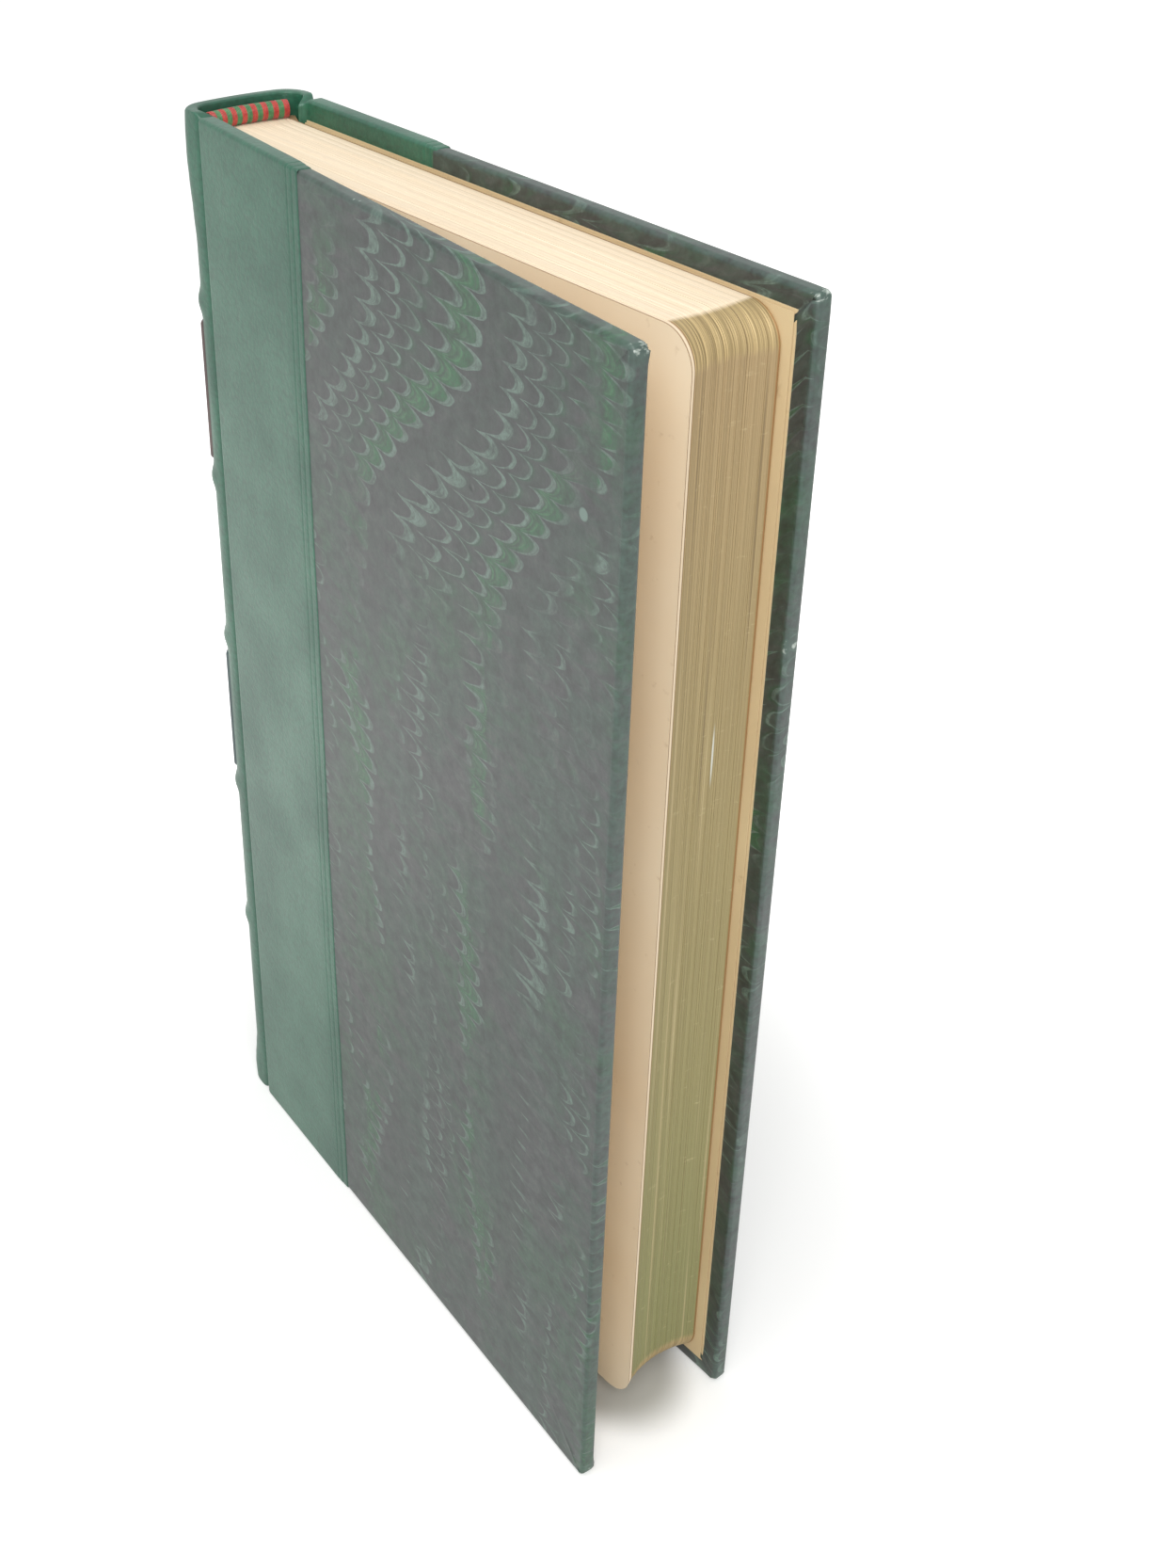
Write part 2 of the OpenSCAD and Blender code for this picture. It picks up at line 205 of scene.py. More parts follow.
# %% [markdown]
# ## Goatskin
# The spine and the inner quarter of the boards are covered in dyed goatskin. Its grain is a net of
# small pebbles, 0.5 to 1 mm across, with finer pores between them. The dye sits unevenly in the skin,
# and a dressed skin has a soft sheen, strongest where the light grazes it. A Voronoi net gives the
# pebbles and two noises give the pores and the cloudy dye. All are made in space, in millimetres, so
# that they run on over edges without a seam.

# %% Goatskin material


def goatskin(name, dye, cloud, deep, roughness, height):
    """dye, cloud and deep are the colours of the skin, of its clouds and between its pebbles."""
    material, tree, shader = new_material(name, roughness, Coat_Weight=0.3, Coat_Roughness=0.38)
    where = in_millimetres(tree)
    warp = add(tree, NOISE, [where, 0.5, 2.0])
    bent = add(tree, VECTOR, [where, warp.outputs["Color"]], operation="ADD")
    # pebbles of 0.85 mm and pores of 0.4 mm
    pebbles = add(tree, "ShaderNodeTexVoronoi", {"Vector": bent, "Scale": 1.2}, feature="SMOOTH_F1")
    pores = add(tree, NOISE, [where, 2.6, 3.0])
    creases = add(tree, NOISE, [where, 0.3, 4.0])
    relief = add(tree, MATH, [pebbles, -0.8, pores], operation="MULTIPLY_ADD")
    relief = add(tree, MATH, [creases, 1.2, relief], operation="MULTIPLY_ADD")
    clouds = add(tree, NOISE, [where, 0.05, 5.0])
    colour = stain(tree, dye, clouds, 0.35, 0.68, 1.0, cloud, **SMOOTH)
    colour = stain(tree, colour, pebbles, 0.25, 0.8, 0.4, deep)
    # where the skin is polished by hands it is smoother
    rub = add(tree, RANGE, [clouds, 0.3, 0.7, roughness + 0.07, roughness - 0.05])
    finish_surface(tree, shader, colour, relief, 0.6, height, Roughness=rub)
    return material


goatskin_green = goatskin("dyed_green_goatskin", "#205642", "#29654d", "#122c20", 0.44, 0.10)
label_brown = goatskin("red_brown_label_skin", "#4c3836", "#5a4643", "#2b1f1e", 0.45, 0.05)
label_blue = goatskin("blue_black_label_skin", "#1f383a", "#2b484a", "#121f21", 0.45, 0.05)
print("materials:", goatskin_green.name, label_brown.name, label_blue.name)

# %% [markdown]
# ## A sheet laid on a form
# The leather is one skin on the real book. It runs from the spine over the joint onto the board, and
# it is turned over the board's edges at head and tail. Such a skin can be sculpted, simulated as
# cloth, or swept. Its form follows rules here, so it is swept: columns run round the book from the
# middle of the spine to the leather's edge on the board, and each column is the same path from the
# turn-in at the tail, up the face and over into the turn-in at the head.
#
# ### The line round the spine
# Seen from the head, the spine is a shallow arc between two rounded shoulders. Beyond a shoulder the
# leather dips into the joint and climbs over the rounded edge of the board. Each station of this line
# keeps its place, the direction that points out of the book, how much of the bands' relief it has, and
# how far it belongs to the board.

# %% Stations from the middle of the spine to the leather's edge
BOARD_H, BOARD_W, LEATHER_W = 225.0, 126.5, {"front": 36.5, "back": 39.5}
SPINE_DEPTH, BACK_R, SHOULDER_R, SPINE_HALF_W = 7.7, 66.0, 5.0, JOINT_Y - 0.6
SHOULDER_Y = SPINE_HALF_W - SHOULDER_R
BACK_X = BACK_R - SPINE_DEPTH
SHOULDER_X = BACK_X - math.sqrt((BACK_R - SHOULDER_R) ** 2 - SHOULDER_Y**2)
BACK_ANGLE = math.asin(SHOULDER_Y / (BACK_R - SHOULDER_R))
JOINT_ROUND = 1.3
RELIEF_FADE = math.radians(38)
# The groove of the joint: places across it and how deep the leather dips there
GROOVE = ((-1.6, 0.02), (-1.0, 0.1), (-0.6, 0.26), (-0.3, 0.5), (0.0, 0.72), (0.22, 0.7))
# The two blind lines, by their distance from the leather's edge, and the steps over each and at the edge
FILLETS = (3.2, 1.6)
LINE_STEPS, EDGE_STOPS = (-0.45, -0.22, 0.0, 0.22, 0.45), (0.9, 0.6, 0.4, 0.2, 0.06, 0.0)
# The first station on the flat of the board, their spacing, and what is left to the blind lines
BOARD_FROM, BOARD_STEP, BOARD_LEFT = 1.8, 1.15, 6
# The width across the groove over which the stations pass from the spine to the board
JOIN_W = 1.8
# Steps of the arcs of the back, of a shoulder and of the board's edge
BACK_STEPS, SHOULDER_STEPS, JOINT_STEPS = 14, 16, 9


def arc(cx, cy, r, start, end, steps):
    """Points of an arc with their angles."""
    for k in range(steps + 1):
        a = start + (end - start) * k / steps
        yield cx + r * math.cos(a), cy + r * math.sin(a), a


def half_line(width):
    """Stations (x, y, nx, ny, relief, board): y falls from 0 at the spine's middle to the front joint."""
    line = []
    for x, y, a in arc(BACK_X, 0, BACK_R, math.pi, math.pi + BACK_ANGLE, BACK_STEPS):
        line.append((x, y, math.cos(a), math.sin(a), 1.0, 0.0))
    start, end = math.pi + BACK_ANGLE, 1.5 * math.pi
    shoulder = arc(SHOULDER_X, -SHOULDER_Y, SHOULDER_R, start, end, SHOULDER_STEPS)
    for x, y, a in list(shoulder)[1:]:
        line.append((x, y, math.cos(a), math.sin(a), ease((end - a) / RELIEF_FADE), 0.0))
    for x, drop in GROOVE:
        line.append((x, -SPINE_HALF_W + drop, 0.0, -1.0, 0.0, ease((x - GROOVE[0][0]) / JOIN_W)))
    r = JOINT_ROUND
    board_edge = arc(r + 0.2, r - JOINT_Y, r, 1.1 * math.pi, end, JOINT_STEPS)
    for x, y, a in list(board_edge)[1:]:
        line.append((x, y, 0.0, -1.0, 0.0, 1.0))
    stops = [BOARD_FROM + BOARD_STEP * k for k in range(int((width - BOARD_LEFT) / BOARD_STEP))]
    for centre in FILLETS:
        stops += [width - centre + d for d in LINE_STEPS]
    stops += [width - edge for edge in EDGE_STOPS]
    line += [(u, -JOINT_Y, 0.0, -1.0, 0.0, 1.0) for u in sorted(stops)]
    return line


print(len(half_line(LEATHER_W["front"])), "stations on the front leather")

# %% [markdown]
# ### The path up each station
# At the head the leather of the spine flares out, rolls over a cord and goes down inside: that is the
# head cap. On a board the same sheet goes round the board's edge. Both are written with as many
# points, each an offset from the face, a distance from the end and the direction that points out of
# the sheet, so that a station in the joint can be any mixture of the two.

# %% The cap, the board's edge and the bands as paths
CAP_RISE, CAP_FLARE, CAP_H = 0.3, 0.7, {"head": 24.0, "tail": 14.0}
# How much of the flare there is at each share of its height, from the edge down
FLARE = ((0.0, 0.55), (0.06, 0.78), (0.18, 0.92), (0.36, 1.0), (0.52, 0.8), (0.76, 0.37), (1.0, 0.0))
CAP_T, CAP_R, INNER_R = 1.85, 0.75, 0.4
EDGE_R, TURN_IN_V = 0.75, 3.4
# Steps down the turn-ins of the cap and of the board, the last at the leather's end
CAP_TURN, BOARD_TURN = (1.2, 2.2, 3.4, 5.0), (3.0, 6.0, 10.0, 15.0)
BAND_Z = [48.6 + 35.4 * k for k in range(5)]
BAND_H, BAND_W = 0.6, 7.2
EDGE_STEPS, FACE_STEPS = 7, 14
# Steps up the face at a band and elsewhere
BAND_STEP, FACE_STEP = 0.6, 1.3


def flare(share):
    """How far the leather stands out at a share of the cap's height, from the edge down."""
    for (low, a), (high, b) in zip(FLARE, FLARE[1:]):
        if share <= high:
            return CAP_FLARE * (a + (b - a) * ease((share - low) / (high - low)))
    return 0.0


def rim_path(face, outer_r, inner_r, thick, turn_in):
    """A sheet's path over an edge: (offset, distance from the end, outward offset, outward rise)."""
    quarter = [math.pi / 2 * k / EDGE_STEPS for k in range(1, EDGE_STEPS + 1)]
    path = [(offset, down, 1.0, 0.0) for offset, down in face]
    top = face[-1][0] - outer_r
    for a in quarter:
        c, s = math.cos(a), math.sin(a)
        path.append((top + outer_r * c, outer_r * (1 - s), c, s))
    for a in quarter:
        c, s = math.cos(a), math.sin(a)
        path.append((inner_r - thick - inner_r * s, inner_r * (1 - c), -s, c))
    return path + [(-thick, down, -1.0, 0.0) for down in turn_in]


def paths(end):
    """The path over the spine's cap and the path over a board's edge, for the head or the tail."""
    high = CAP_H[end]
    downs = [high + (CAP_R - high) * k / (FACE_STEPS - 1) for k in range(FACE_STEPS)]
    cap = rim_path([(flare(d / high), d) for d in downs], CAP_R, INNER_R, CAP_T, CAP_TURN)
    board = rim_path([(0.0, d) for d in downs], EDGE_R, EDGE_R, TURN_IN_V, BOARD_TURN)
    return cap, board


def band_bulge(z):
    """How far the five bands raise the leather at a height."""
    for centre in BAND_Z:
        t = abs(z - centre) / (BAND_W / 2)
        if t < 1:
            return BAND_H * (1 + math.cos(math.pi * t)) / 2
    return 0.0


def face_heights():
    """Heights between the caps, closer together at the bands."""
    heights, z = [], CAP_H["tail"] + 0.8
    while z < BOARD_H + CAP_RISE - CAP_H["head"] - 0.5:
        heights.append(z)
        near_band = any(abs(z - b) < BAND_W / 2 + BAND_STEP for b in BAND_Z)
        z += BAND_STEP if near_band else FACE_STEP
    return heights


print(len(paths("head")[0]), "points in each rim,", len(face_heights()), "on the face")

# %% [markdown]
# ### Laying the skin
# Two blind lines are pressed into the leather beside its edge with a hot tool. The edge itself is
# pared thin, so that it ends level with the paper. It was cut by eye: it wanders, and it is a little
# wider at the tail than at the head.

# %% The leather skins
LINE_DEPTH, LINE_W = 0.09, 0.17
LEATHER_STEP, PARED, PARED_W, CUT_W = 0.37, 0.2, 4.0, 0.4
# The dip of the edge of head and tail in the joint, its place, its width and how far down it is felt
DIP, DIP_X, DIP_W, DIP_DOWN = 0.8, 0.1, 0.75, 6
# The cut edge wanders, and the stations follow it more and more from here on
DRIFT_FROM = 12


def leather_edge_shift(z):
    """How far the leather's cut edge wanders at a height."""
    return 1.5 * (1 - z / BOARD_H) ** 3 - 0.3 + 0.12 * math.sin(z / 17.0) + 0.06 * math.sin(z / 5.3)


def leather_column(side, station, rims, heights):
    """The path over one station, from the turn-in at the tail to the turn-in at the head."""
    x, y, nx, ny, relief, share = station
    edge = LEATHER_W[side] - x
    sink = sum(LINE_DEPTH * math.exp(-(((edge - centre) / LINE_W) ** 2)) for centre in FILLETS)
    sink += PARED * ease(1 - edge / PARED_W)
    if edge < CUT_W:
        sink += (LEATHER_STEP - PARED) * (1 - math.sqrt(max(0.0, 1 - (1 - edge / CUT_W) ** 2)))
    dip = DIP * math.exp(-(((x - DIP_X) / DIP_W) ** 2)) if share > 0 else 0.0
    ends = []
    for end, level, sign in (("tail", 0.0, 1.0), ("head", BOARD_H, -1.0)):
        points = []
        for cap, board in zip(*rims[end]):
            cap = (cap[0] * (relief if cap[0] > 0 else 1.0), *cap[1:])
            offset, down, out, up = (c * (1 - share) + b * share for c, b in zip(cap, board))
            down += dip * ease(1 - down / DIP_DOWN) + sink * up
            rise = CAP_RISE * (1 - share) if end == "head" else 0.0
            points.append((offset - sink * out, level + sign * (down - rise)))
        ends.append(points)
    middle = [(band_bulge(z) * relief - sink, z) for z in heights]
    column = []
    for offset, z in ends[0][::-1] + middle + ends[1]:
        px, py = x + nx * offset, y + ny * offset
        if x > 0:
            drift = leather_edge_shift(z) * ease((px - DRIFT_FROM) / (LEATHER_W[side] - DRIFT_FROM))
            column.append(cover_point[side](px + drift, py + JOINT_Y, z))
        else:
            column.append(spine_point(px, py if side == "front" else -py, z))
    return column


def leather_piece(side):
    rims = {end: paths(end) for end in ("tail", "head")}
    heights = face_heights()
    line = half_line(LEATHER_W[side])
    columns = [leather_column(side, station, rims, heights) for station in line]
    faces = between_lines(len(columns), len(columns[0]), side == "back")
    points = [p for column in columns for p in column]
    return new_piece(f"{side}_leather_skin", points, faces, goatskin_green)


front_skin = leather_piece("front")
back_skin = leather_piece("back")

# %% [markdown]
# ### The labels
# A label is a thinner skin of another colour, pared to nothing at its edges and pasted between two bands.
# It is left bare. It uses the stations of the spine, and its thickness grows from the edge as a quarter
# round, so no sharp step stands up from the green skin.

# %% The two labels
LABEL_T, LABEL_CLEAR, LABEL_END_X, LABEL_ROUND, LABEL_SUNK = 0.5, 0.3, -4.4, 0.8, 0.06
LABEL_ABOVE = {"lower": 2, "upper": 4}
EDGE_ROWS, INNER_ROWS = 6, 12


def label_piece(name, band, material):
    """A label above a band, counted from the tail."""
    low = BAND_Z[band - 1] + BAND_W / 2 + LABEL_CLEAR
    high = BAND_Z[band] - BAND_W / 2 - LABEL_CLEAR
    half = [station[:4] for station in half_line(LEATHER_W["front"]) if station[0] < LABEL_END_X]
    line = half[::-1] + [(x, -y, nx, -ny) for x, y, nx, ny in half[1:]]
    along = [0.0]
    for a, b in zip(line, line[1:]):
        along.append(along[-1] + math.dist(a[:2], b[:2]))
    tall = high - low
    near = [LABEL_ROUND * (k / EDGE_ROWS) ** 2 for k in range(EDGE_ROWS + 1)]
    inner = [LABEL_ROUND + (tall - 2 * LABEL_ROUND) * k / INNER_ROWS for k in range(1, INNER_ROWS)]
    rows = near + inner + [tall - d for d in near[::-1]]
    points = []
    for (x, y, nx, ny), s in zip(line, along):
        for up in rows:
            edge = min(s, along[-1] - s, up, tall - up, LABEL_ROUND) / LABEL_ROUND
            offset = (LABEL_T + LABEL_SUNK) * math.sqrt(1 - (1 - edge) ** 2) - LABEL_SUNK
            points.append(spine_point(x + nx * offset, y + ny * offset, low + up))
    return new_piece(name, points, between_lines(len(line), len(rows)), material)


labels = {
    "lower": label_piece("lower_label_skin", LABEL_ABOVE["lower"], label_blue),
    "upper": label_piece("upper_label_skin", LABEL_ABOVE["upper"], label_brown),
}

# %% [markdown]
# ## Combed marbled paper
# The sides are papered with marbling: colours floated on size, combed, and lifted off with the sheet.
# The bands of colour ran up the board, and a comb with a tooth every 4 mm was drawn across them. Each
# tooth held the colour back, so every band became a stack of scallops with round feet towards the
# fore-edge and long thin tails between the rows. Lower down the bands swing towards the spine. The
# material does what the comb did: it numbers the rows, pulls the bands back at each tooth, and then
# looks the colour up in a list of bands. It is painted on the flat sheet, so it needs coordinates that
# unfold with the paper.

# %% The comb
ROW, PULL, BANDS, SWING = 4.1, 5.6, 40.0, 34.0
COMB_TURN = math.radians(2)
# How much rounder a foot is than a tooth is wide, and how much each row is stepped from the next
LEAN, HOLD, ROW_STEP = 0.8, 3.0, 1.4
# Slow swirls and a small wobble of the size: how many to the millimetre, and their drifts in millimetres
# across the rows and along them
DRIFTS = ((0.02, 9.0, 22.0), (0.11, 2.0, 3.5))


def combed(tree, sheet, where, swing_z):
    """Each place's row of the comb, and its distance along the bands of colour in millimetres."""
    axes = add(tree, "ShaderNodeSeparateXYZ", [sheet])
    across, up = axes.outputs[0], axes.outputs[1]
    swing = add(tree, RANGE, [up, *swing_z, 0.0, SWING], **SMOOTH)
    band = add(tree, MATH, [across, swing], operation="ADD")
    up = add(tree, MATH, [across, math.tan(COMB_TURN), up], operation="MULTIPLY_ADD")
    for scale, over, along in DRIFTS:
        drift = add(tree, NOISE, [where, scale, 1.0])
        drift = add(tree, "ShaderNodeSeparateColor", [drift.outputs["Color"]])
        up = add(tree, MATH, [drift.outputs[0], over, up], operation="MULTIPLY_ADD")
        band = add(tree, MATH, [drift.outputs[1], along, band], operation="MULTIPLY_ADD")
    row = add(tree, MATH, [up, ROW], operation="DIVIDE")
    # how near each place is to a tooth: 0 at a foot, 1 at a tooth
    tooth = add(tree, MATH, [row], operation="FRACT")
    tooth = add(tree, MATH, [tooth, LEAN], operation="POWER")
    tooth = add(tree, MATH, [tooth, 2.0, -1.0], operation="MULTIPLY_ADD")
    tooth = add(tree, MATH, [tooth], operation="ABSOLUTE")
    held = add(tree, MATH, [tooth, HOLD], operation="POWER")
    band = add(tree, MATH, [held, PULL, band], operation="MULTIPLY_ADD")
    number = add(tree, MATH, [row], operation="FLOOR")
    chance = add(tree, "ShaderNodeTexWhiteNoise", {"W": number}, noise_dimensions="1D")
    chance = add(tree, "ShaderNodeSeparateColor", [chance.outputs["Color"]])
    return row, add(tree, MATH, [chance.outputs[0], ROW_STEP, band], operation="MULTIPLY_ADD")


# %% The colours of the marbling
PALE, GREEN, GREY, PURPLE = "#6e857a", "#2b4f39", "#3d4642", "#3e3c3f"
LEAF_GREEN, DEEP_GREEN = "#427a50", "#26633c"
# The colours in the order they were thrown, by their distance from the first band in millimetres
THROWN = (
    (1.2, PURPLE), (1.4, PALE), (2.5, PALE), (2.7, PURPLE), (6.5, GREY), (6.9, PALE), (7.5, PALE),
    (7.8, GREEN), (9.0, GREY), (13.5, PURPLE), (13.8, PALE), (15.0, PALE), (15.2, GREEN),
    (15.9, LEAF_GREEN), (16.3, GREEN), (17.6, LEAF_GREEN), (18.0, DEEP_GREEN), (20.2, DEEP_GREEN),
    (20.5, PALE), (21.9, PALE), (22.1, PURPLE), (28.0, GREY), (33.4, PURPLE), (33.7, PALE),
    (36.4, PALE), (36.7, GREY),
)


def thrown_colours(tree, row, band, first_band):
    """The bands looked up in the list. Each was thrown in many drops and lies in fine rings."""
    place = add(tree, MATH, [band, -first_band], operation="ADD")
    place = add(tree, MATH, [place, BANDS], operation="DIVIDE")
    place = add(tree, MATH, [place], operation="FRACT")
    thrown = add(tree, "ShaderNodeValToRGB", [place])
    stops = thrown.color_ramp.elements
    for distance, colour in THROWN:
        stops.new(distance / BANDS).color = linear(colour)
    stops[0].color, stops[-1].color = linear(PURPLE), linear(PURPLE)
    slow_row = add(tree, MATH, [row, 0.25], operation="MULTIPLY")
    rings = add(tree, "ShaderNodeCombineXYZ", [band, slow_row])
    ring = add(tree, NOISE, [rings, 1.5, 2.0])
    return stain(tree, thrown, ring, 0.45, 0.62, 0.5, "#3c4a43", **SMOOTH)


def drawn_out_colours(tree, where, row, band):
    """The ground between the clear bands, drawn out into streaks along the comb's way."""
    slow_band = add(tree, MATH, [band, 0.13], operation="MULTIPLY")
    along = add(tree, "ShaderNodeCombineXYZ", [slow_band, row])
    streaks = add(tree, NOISE, [along, 1.6, 4.0])
    streaks = add(tree, "ShaderNodeSeparateColor", [streaks.outputs["Color"]])
    patches = add(tree, NOISE, [where, 0.05, 4.0])
    patches = add(tree, "ShaderNodeSeparateColor", [patches.outputs["Color"]])
    greys = add(tree, MATH, [streaks.outputs[0], 0.6, patches.outputs[0]], operation="MULTIPLY_ADD")
    ground = stain(tree, "#464748", greys, 0.66, 0.88, 1.0, "#3a4b43", **SMOOTH)
    greens = add(tree, MATH, [streaks.outputs[1], 0.5, patches.outputs[1]], operation="MULTIPLY_ADD")
    return stain(tree, ground, greens, 0.73, 0.93, 0.75, "#33563f", **SMOOTH)


def clear_combing(tree, sheet, where, at, size):
    """How clear the combing is: in one large place, and in small ones that come and go."""
    shift = [-c / s for c, s in zip(at, size)]
    offset = add(tree, MAPPING, {"Vector": sheet, "Location": shift, "Scale": [1 / s for s in size]})
    away = add(tree, VECTOR, [offset], operation="LENGTH")
    near = add(tree, RANGE, [away, 1.1, 0.7, 0.0, 0.85], **SMOOTH)
    strips = add(tree, MAPPING, {"Vector": where, "Rotation": (0, 0, 0.2), "Scale": (1.7, 0.5, 1)})
    clumps = add(tree, NOISE, [strips, 0.07, 3.0])
    clumps = add(tree, RANGE, [clumps, 0.49, 0.59, 0.12, 0.75], **SMOOTH)
    return add(tree, MATH, [near, clumps], operation="MAXIMUM")


# %% Wear with painted edge highlights and mitre shade, and the paper itself


def worn_and_painted_light_colours(tree, where, colour):
    """Edges and corners rubbed down to the pale fibres, the rounded edges also painted lighter as a
    highlight, and a dark line of painted shade along the step where the mitre laps.
    """
    wear_and_highlight = add(tree, "ShaderNodeAttribute", attribute_name="wear_and_highlight").outputs["Fac"]
    specks = add(tree, NOISE, [where, 0.9, 5.0])
    worn_and_highlit = add(tree, MATH, [specks, wear_and_highlight], operation="ADD")
    # lighter, duller green on the rounded edges and rubbed places: partly wear, partly painted highlight
    colour = stain(tree, colour, worn_and_highlit, 0.7, 1.1, 0.5, "#4a645a")
    colour = stain(tree, colour, worn_and_highlit, 1.16, 1.34, 0.85, "#c3cdc4")
    # painted shade: a dark line along the step where the fore turn-in laps the other at the mitre
    seam = add(tree, "ShaderNodeAttribute", attribute_name="seam").outputs["Fac"]
    return stain(tree, colour, seam, 0.72, 0.92, 0.8, "#1c2220")


def marbled(name, first_band, swing_z, sheet_origin, clear_at, clear_size, drops=(), grit=()):
    """Places are on the sheet in millimetres: the first band, the heights between which the bands swing,
    where the combing is clear, drops of clear size (u, z, radius) and grit under the paper."""
    material, tree, shader = new_material(name, 0.43, Coat_Weight=0.1, Coat_Roughness=0.3)
    sheet = add(tree, "ShaderNodeUVMap", uv_map="sheet")
    where = add(tree, MAPPING, {"Vector": sheet, "Location": sheet_origin})
    row, band = combed(tree, sheet, where, swing_z)
    ground = drawn_out_colours(tree, where, row, band)
    thrown = thrown_colours(tree, row, band, first_band)
    clear = clear_combing(tree, sheet, where, clear_at, clear_size)
    colour = add(tree, MIX, [clear, ground, thrown], data_type="RGBA")
    # the sheet is mottled where the size was thick, and the colour sits on the fibres in fine grains
    mottles = add(tree, NOISE, [where, 0.3, 5.0, 0.65])
    colour = stain(tree, colour, mottles, 0.47, 0.66, 0.6, "#1d1f1e")
    colour = stain(tree, colour, mottles, 0.46, 0.3, 0.35, "#5f615d")
    grains = add(tree, NOISE, [where, 1.0, 4.0, 0.75])
    colour = stain(tree, colour, grains, 0.42, 0.64, 0.5, "#343a37")
    for *at, radius in drops:
        away = add(tree, VECTOR, [sheet, (*at, 0)], operation="DISTANCE")
        colour = stain(tree, colour, away, radius + 0.15, radius - 0.15, 1.0, "#6c8178")
    colour = worn_and_painted_light_colours(tree, where, colour)
    relief = add(tree, NOISE, [where, 1.6, 4.0])
    for *at, radius in grit:
        away = add(tree, VECTOR, [sheet, (*at, 0)], operation="DISTANCE")
        bump = add(tree, RANGE, [away, radius, 0.0, 0.0, 6.0], **SMOOTH)
        relief = add(tree, MATH, [relief, bump], operation="ADD")
    finish_surface(tree, shader, colour, relief, 0.35, 0.05)
    return material


front_marbled = marbled(
    "combed_marbled_paper_front", 82.0, (214, 168), (0, 0, 0), (79, 200, 0), (38, 36, 1),
    drops=[(117.0, 197.0, 1.0)], grit=[(88.3, 189.6, 0.9)],
)
back_marbled = marbled(
    "combed_marbled_paper_back", 96.0, (150, 95), (310, 140, 0), (90, 100, 0), (40, 60, 1),
)
print(len(THROWN), "stops of colour,", len(front_marbled.node_tree.nodes), "nodes on the front sheet")

# %% [markdown]
# ### The sheets on the boards
# A sheet is glued to the board's face, and its three free sides are turned over the edges onto the
# inside, where they meet in a mitre at each corner. So it is built as rings: the board's outline, drawn
# again at each step of the path over the edge. Each point also keeps its place on the flat sheet, for
# the pattern, and how much it has been rubbed, with a painted highlight along the rounded edges. The folded
# corners bulge a little.

# %% The marbled sheets
PAPER_LOW, PAPER_V, PLAN_R, SHEET_LAP = 0.35, 0.35, 1.3, 1.2
INNER_V, LEAST_R = 3.35, 0.02
# Rings on the flat face and on the turn-in, by their distance inside the outline
FACE_RINGS, TURN_RINGS = (14.0, 7.0, 3.5, 2.2, 1.4), (1.3, 2.2, 3.4, 5.0, 14.9)
FOLD_H, FOLD_REACH = 0.3, 3.5
# Depths that part the face from the edge, and the edge from the turn-in
FACE_V, TURNED_V = 1.0, 2.6
# The mitre's line, where a dark line of painted shade is drawn: how far out on the flat sheet it starts,
# and how near the corner's diagonal it lies
MITRE_OUT, MITRE_GAP = 3.0, 0.01
# Places on an edge that are rubbed or chipped: (side of the outline, place along it, half length, how much)
RUBBED = {
    "front": (("head", 54.0, 9.0, 0.16), ("head", 100.0, 3.0, 0.12), ("fore", 14.0, 6.0, 0.12)),
    "back": (("fore", 168.6, 0.9, 0.6), ("head", 80.0, 12.0, 0.1)),
}
# Steps of the outline on a short side, on the long one and round a corner, and of the quarter over the edge
SHORT, LONG, TURN, QUARTER = 60, 120, 6, 6
# Wear at the corners, how far it reaches, and wear with a painted highlight on the edges
CORNER_WEAR, CORNER_REACH, EDGE_WEAR_AND_HIGHLIGHT = 0.36, 2.6, 0.34


def ring_profile():
    """Steps over the edge: (distance inside the outline, depth v, distance on the flat sheet)."""
    r = EDGE_R
    quarter = [math.pi / 2 * k / QUARTER for k in range(QUARTER + 1)]
    rings = [(d, PAPER_V, -d) for d in FACE_RINGS]
    for a in quarter:
        rings.append((r * (1 - math.sin(a)), PAPER_V + r * (1 - math.cos(a)), r * (a - 1)))
    side = INNER_V - PAPER_V - 2 * r
    out = r * (math.pi / 2 - 1)
    rings += [(0.0, PAPER_V + r + side * k / 3, out + side * k / 3) for k in (1, 2)]
    for a in quarter:
        rings.append((r * (1 - math.cos(a)), INNER_V - r * (1 - math.sin(a)), out + side + r * a))
    out += side + r * math.pi / 2
    return rings + [(d, INNER_V, out + d - r) for d in TURN_RINGS]


def outline():
    """The outline as (side, share of the side or angle), from the leather round to the leather."""
    points = [("head", k / SHORT) for k in range(SHORT + 1)]
    points += [("head corner", math.pi / 2 * (1 - k / TURN)) for k in range(1, TURN)]
    points += [("fore", k / LONG) for k in range(LONG + 1)]
    points += [("tail corner", -math.pi / 2 * k / TURN) for k in range(1, TURN)]
    return points + [("tail", 1 - k / SHORT) for k in range(SHORT + 1)]


def on_outline(point, low_u, move):
    """A point of the outline moved outwards, or inwards if the move is negative."""
    side, t = point
    r = max(PLAN_R + move, LEAST_R)
    reach = r - move
    low, high, end = PAPER_LOW, BOARD_H - PAPER_LOW, BOARD_W
    if side in ("head", "tail"):
        u = low_u + (end - reach - low_u) * t
        return u, (high + move) if side == "head" else (low - move)
    if side == "fore":
        return end + move, high - reach + (low - high + 2 * reach) * t
    z = high - reach if side == "head corner" else low + reach
    return end - reach + r * math.cos(t), z + r * math.sin(t)


def corner_share(u, from_end):
    """1 at a corner of the board, and less away from it."""
    return math.exp(-((math.hypot(BOARD_W - u, from_end) / CORNER_REACH) ** 2))


